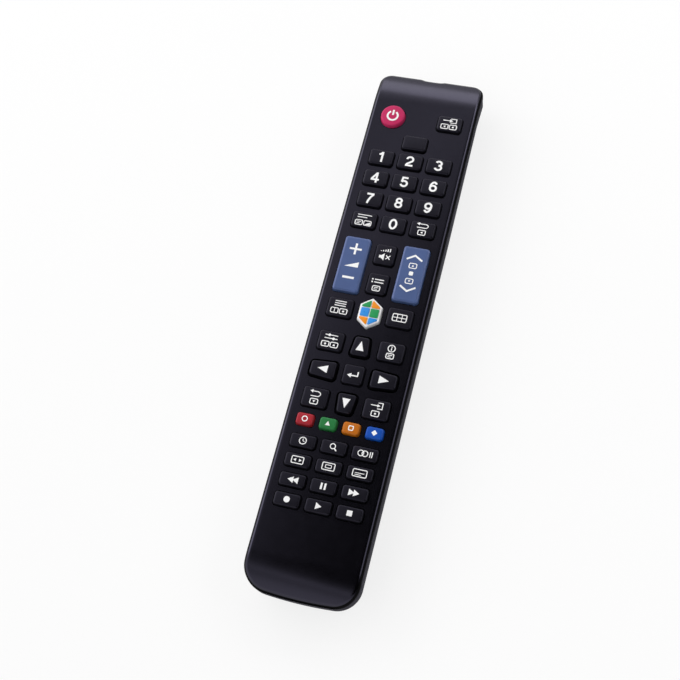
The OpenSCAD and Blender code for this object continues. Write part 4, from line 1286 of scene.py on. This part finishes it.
def board_finish():
    """Green solder mask over copper lines, which are the joints of a brick pattern on Object coordinates"""
    material, shader = shader_of("solder_mask")
    if shader is None:
        return material
    tree = material.node_tree
    place = tree.nodes.new("ShaderNodeTexCoord")
    tracks = tree.nodes.new("ShaderNodeTexBrick")
    tracks.inputs["Scale"].default_value = 120
    tracks.inputs["Mortar Size"].default_value = 0.03
    tracks.inputs["Color1"].default_value = (0.012, 0.09, 0.03, 1)
    tracks.inputs["Color2"].default_value = (0.014, 0.11, 0.035, 1)
    tracks.inputs["Mortar"].default_value = (0.05, 0.22, 0.06, 1)
    tree.links.new(place.outputs["Object"], tracks.inputs["Vector"])
    tree.links.new(tracks.outputs["Color"], shader.inputs["Base Color"])
    vary(material, noise(material, 2 * MM), 0.25, 0.4, shader.inputs["Roughness"])
    relief(material, shader, tracks.outputs["Fac"], 0.02 * MM)
    return material


class REMOTE_OT_inner_finishes(bpy.types.Operator):
    """Finishes of the inner nodes that keep their shape: mat, board, chip, capacitor, plates and screws"""

    bl_idname = "remote.inner_finishes"
    bl_label = "Inner finishes"

    def execute(self, context):
        finishes = {
            "keypad_mat": rubber_finish("web_rubber", (0.012, 0.012, 0.013), rough=0.6),
            "circuit_board": board_finish(),
            "controller_chip": moulded("chip_resin", (0.012, 0.012, 0.013), rough=0.6, spread=0.05,
                                       grain=0.2 * MM, depth=0.01 * MM),
            "capacitor": moulded("capacitor_sleeve", (0.02, 0.035, 0.09), rough=0.35, spread=0.05,
                                 grain=0.6 * MM, depth=0.01 * MM),
            "contact_plates": steel_finish("plated_contact", (0.66, 0.65, 0.62), rough=0.28),
            "case_screws": steel_finish("zinc_screw", (0.55, 0.55, 0.56), rough=0.35),
        }
        for node, material in finishes.items():
            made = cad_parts[node]
            made.data.materials.clear()
            made.data.materials.append(material)
        return {"FINISHED"}


# Stage

def posed(right, up, back, place):
    """World matrix of an object whose local X, Y and Z point right, up and back, at its place"""
    return Matrix(np.vstack([np.column_stack([right, up, back, place]), [0, 0, 0, 1]]).tolist())


def lamp(name, place, target, wide, tall, power):
    """Area lamp that looks from its place at a target; local -Z is the way it shines"""
    data = bpy.data.lights.new(name, "AREA")
    data.shape = "RECTANGLE"
    data.size, data.size_y = wide, tall
    data.energy = power
    made = bpy.data.objects.new(name, data)
    back = np.subtract(place, target)
    back = back / np.linalg.norm(back)
    side = np.cross([0, 0, 1], back)
    side = side / np.linalg.norm(side)
    made.matrix_world = posed(side, np.cross(back, side), back, place)
    bpy.context.scene.collection.objects.link(made)


def floor_finish(tone):
    """Pale floor, part of whose brightness is its own for the rays that see it, so that it looks white and
    its shadows stay soft: the share comes from Light Path's camera, glossy and transmission rays"""
    own = 0.8
    material, shader = shader_of("pale_floor")
    tree = material.node_tree
    blend(material, noise(material, 0.2), tone * 0.985, tone, shader.inputs["Base Color"])
    vary(material, noise(material, 0.05), 0.85, 0.95, shader.inputs["Roughness"])
    shader.inputs["Specular IOR Level"].default_value = 0.0
    path = tree.nodes.new("ShaderNodeLightPath")
    seen = path.outputs["Is Camera Ray"]
    for name in ("Is Glossy Ray", "Is Transmission Ray"):
        both = tree.nodes.new("ShaderNodeMath")
        both.operation = "MAXIMUM"
        tree.links.new(seen, both.inputs[0])
        tree.links.new(path.outputs[name], both.inputs[1])
        seen = both.outputs["Value"]
    share = tree.nodes.new("ShaderNodeMath")
    share.operation = "MULTIPLY"
    share.inputs[1].default_value = own
    glow = tree.nodes.new("ShaderNodeEmission")
    mixed = tree.nodes.new("ShaderNodeMixShader")
    tree.links.new(seen, share.inputs[0])
    tree.links.new(share.outputs["Value"], mixed.inputs["Fac"])
    tree.links.new(shader.outputs["BSDF"], mixed.inputs[1])
    tree.links.new(glow.outputs["Emission"], mixed.inputs[2])
    tree.links.new(mixed.outputs["Shader"], tree.nodes["Material Output"].inputs["Surface"])
    return material


def sky():
    """World that is pale at the horizon and dark overhead, with a paler ring round the dark part: a ramp
    over the direction's share along an axis that leans to the right, times a factor that falls from the
    left to the right"""
    axis = (0.5, 0, 0.866)
    steps = [(0.0, 0.77), (0.4, 0.73), (0.53, 0.65), (0.6, 0.35), (0.63, 0.35), (0.66, 1.0), (0.69, 0.2),
             (0.71, 0.0)]
    world = bpy.data.worlds.new("studio")
    bpy.context.scene.world = world
    world.use_nodes = True
    tree = world.node_tree
    place = tree.nodes.new("ShaderNodeTexCoord")
    share = tree.nodes.new("ShaderNodeVectorMath")
    share.operation = "DOT_PRODUCT"
    share.inputs[1].default_value = axis
    ramp = tree.nodes.new("ShaderNodeValToRGB")
    tree.links.new(place.outputs["Generated"], share.inputs[0])
    tree.links.new(share.outputs["Value"], ramp.inputs["Fac"])
    while len(ramp.color_ramp.elements) < len(steps):
        ramp.color_ramp.elements.new(0.5)
    for element, (position, value) in zip(ramp.color_ramp.elements, steps):
        element.position = position
        element.color = (value, value, value, 1)
    split = tree.nodes.new("ShaderNodeSeparateXYZ")
    side = tree.nodes.new("ShaderNodeMapRange")
    side.inputs["From Min"].default_value = -1
    side.inputs["From Max"].default_value = 1
    side.inputs["To Min"].default_value = 1.8
    side.inputs["To Max"].default_value = 1.25
    tree.links.new(place.outputs["Generated"], split.inputs["Vector"])
    tree.links.new(split.outputs["X"], side.inputs["Value"])
    tree.links.new(ramp.outputs["Color"], tree.nodes["Background"].inputs["Color"])
    tree.links.new(side.outputs["Result"], tree.nodes["Background"].inputs["Strength"])


class REMOTE_OT_stage(bpy.types.Operator):
    """Camera, pale floor, soft lamps and sky"""

    bl_idname = "remote.stage"
    bl_label = "Stage"

    def execute(self, context):
        stage = context.scene.remote_stage
        data = bpy.data.cameras.new("camera")
        data.sensor_width = SENSOR
        data.lens = stage.lens
        data.clip_start = 0.01
        camera = bpy.data.objects.new("camera", data)
        right = np.array(stage.right) / np.linalg.norm(stage.right)
        back = np.cross(right, np.array(stage.up))
        back = back / np.linalg.norm(back)
        up = np.cross(back, right)
        camera.matrix_world = posed(right, up, back, stage.camera)
        context.scene.collection.objects.link(camera)
        context.scene.camera = camera
        floor = as_object("floor", round_post(0, 0, radius=2.5, low=-2 * MM, high=0, count=96))
        floor.data.materials.append(floor_finish(np.array(stage.floor)))
        lamp("left_strip", (-0.85, 0.4, 0.6), target=(0, 0, 0), wide=1.1, tall=0.45, power=3.8)
        lamp("right_strip", (0.85, 0.45, 0.75), target=(0, 0, 0), wide=1.0, tall=0.5, power=3.2)
        lamp("front_strip", (0.2, 0.95, 0.69), target=(0, 0.1, 0.02), wide=1.4, tall=0.32, power=3.3)
        sky()
        context.scene.view_settings.view_transform = "Standard"
        return {"FINISHED"}


class REMOTE_PT_parts(bpy.types.Panel):
    """Sidebar panel with the sizes, the colours and a button for each group of pieces"""

    bl_idname = "REMOTE_PT_parts"
    bl_label = "Handheld remote"
    bl_space_type = "VIEW_3D"
    bl_region_type = "UI"
    bl_category = "Remote"

    def draw(self, context):
        layout = self.layout
        for operator in OPERATORS:
            layout.operator(operator.bl_idname)
        for group in (context.scene.remote_case, context.scene.remote_keys, context.scene.remote_colours,
                      context.scene.remote_stage):
            box = layout.box()
            for name in group.bl_rna.properties.keys():
                if name not in {"rna_type", "name"}:
                    box.prop(group, name)


OPERATORS = [
    REMOTE_OT_stage, REMOTE_OT_key_face, REMOTE_OT_lower_shell, REMOTE_OT_battery_door, REMOTE_OT_pads,
    REMOTE_OT_power_key, REMOTE_OT_rockers, REMOTE_OT_hub_key, REMOTE_OT_prints, REMOTE_OT_cells,
    REMOTE_OT_springs, REMOTE_OT_emitter, REMOTE_OT_inner_finishes,
]
GROUPS = {
    "remote_case": RemoteCaseSizes,
    "remote_keys": RemoteKeySizes,
    "remote_colours": RemoteColours,
    "remote_stage": RemoteStage,
}


def register():
    """Registers the groups, operators and panel"""
    for name, group in GROUPS.items():
        bpy.utils.register_class(group)
        setattr(bpy.types.Scene, name, PointerProperty(type=group))
    for made in OPERATORS + [REMOTE_PT_parts]:
        bpy.utils.register_class(made)


def unregister():
    """Removes them again"""
    for made in [REMOTE_PT_parts] + OPERATORS[::-1]:
        bpy.utils.unregister_class(made)
    for name, group in GROUPS.items():
        delattr(bpy.types.Scene, name)
        bpy.utils.unregister_class(group)


def main():
    """Builds the whole remote control and its stage"""
    register()
    bpy.ops.remote.stage()
    bpy.ops.remote.key_face()
    bpy.ops.remote.lower_shell()
    bpy.ops.remote.battery_door()
    bpy.ops.remote.pads()
    bpy.ops.remote.power_key()
    bpy.ops.remote.rockers()
    bpy.ops.remote.hub_key()
    bpy.ops.remote.prints()
    bpy.ops.remote.cells()
    bpy.ops.remote.springs()
    bpy.ops.remote.emitter()
    bpy.ops.remote.inner_finishes()


if __name__ == "__main__":
    main()
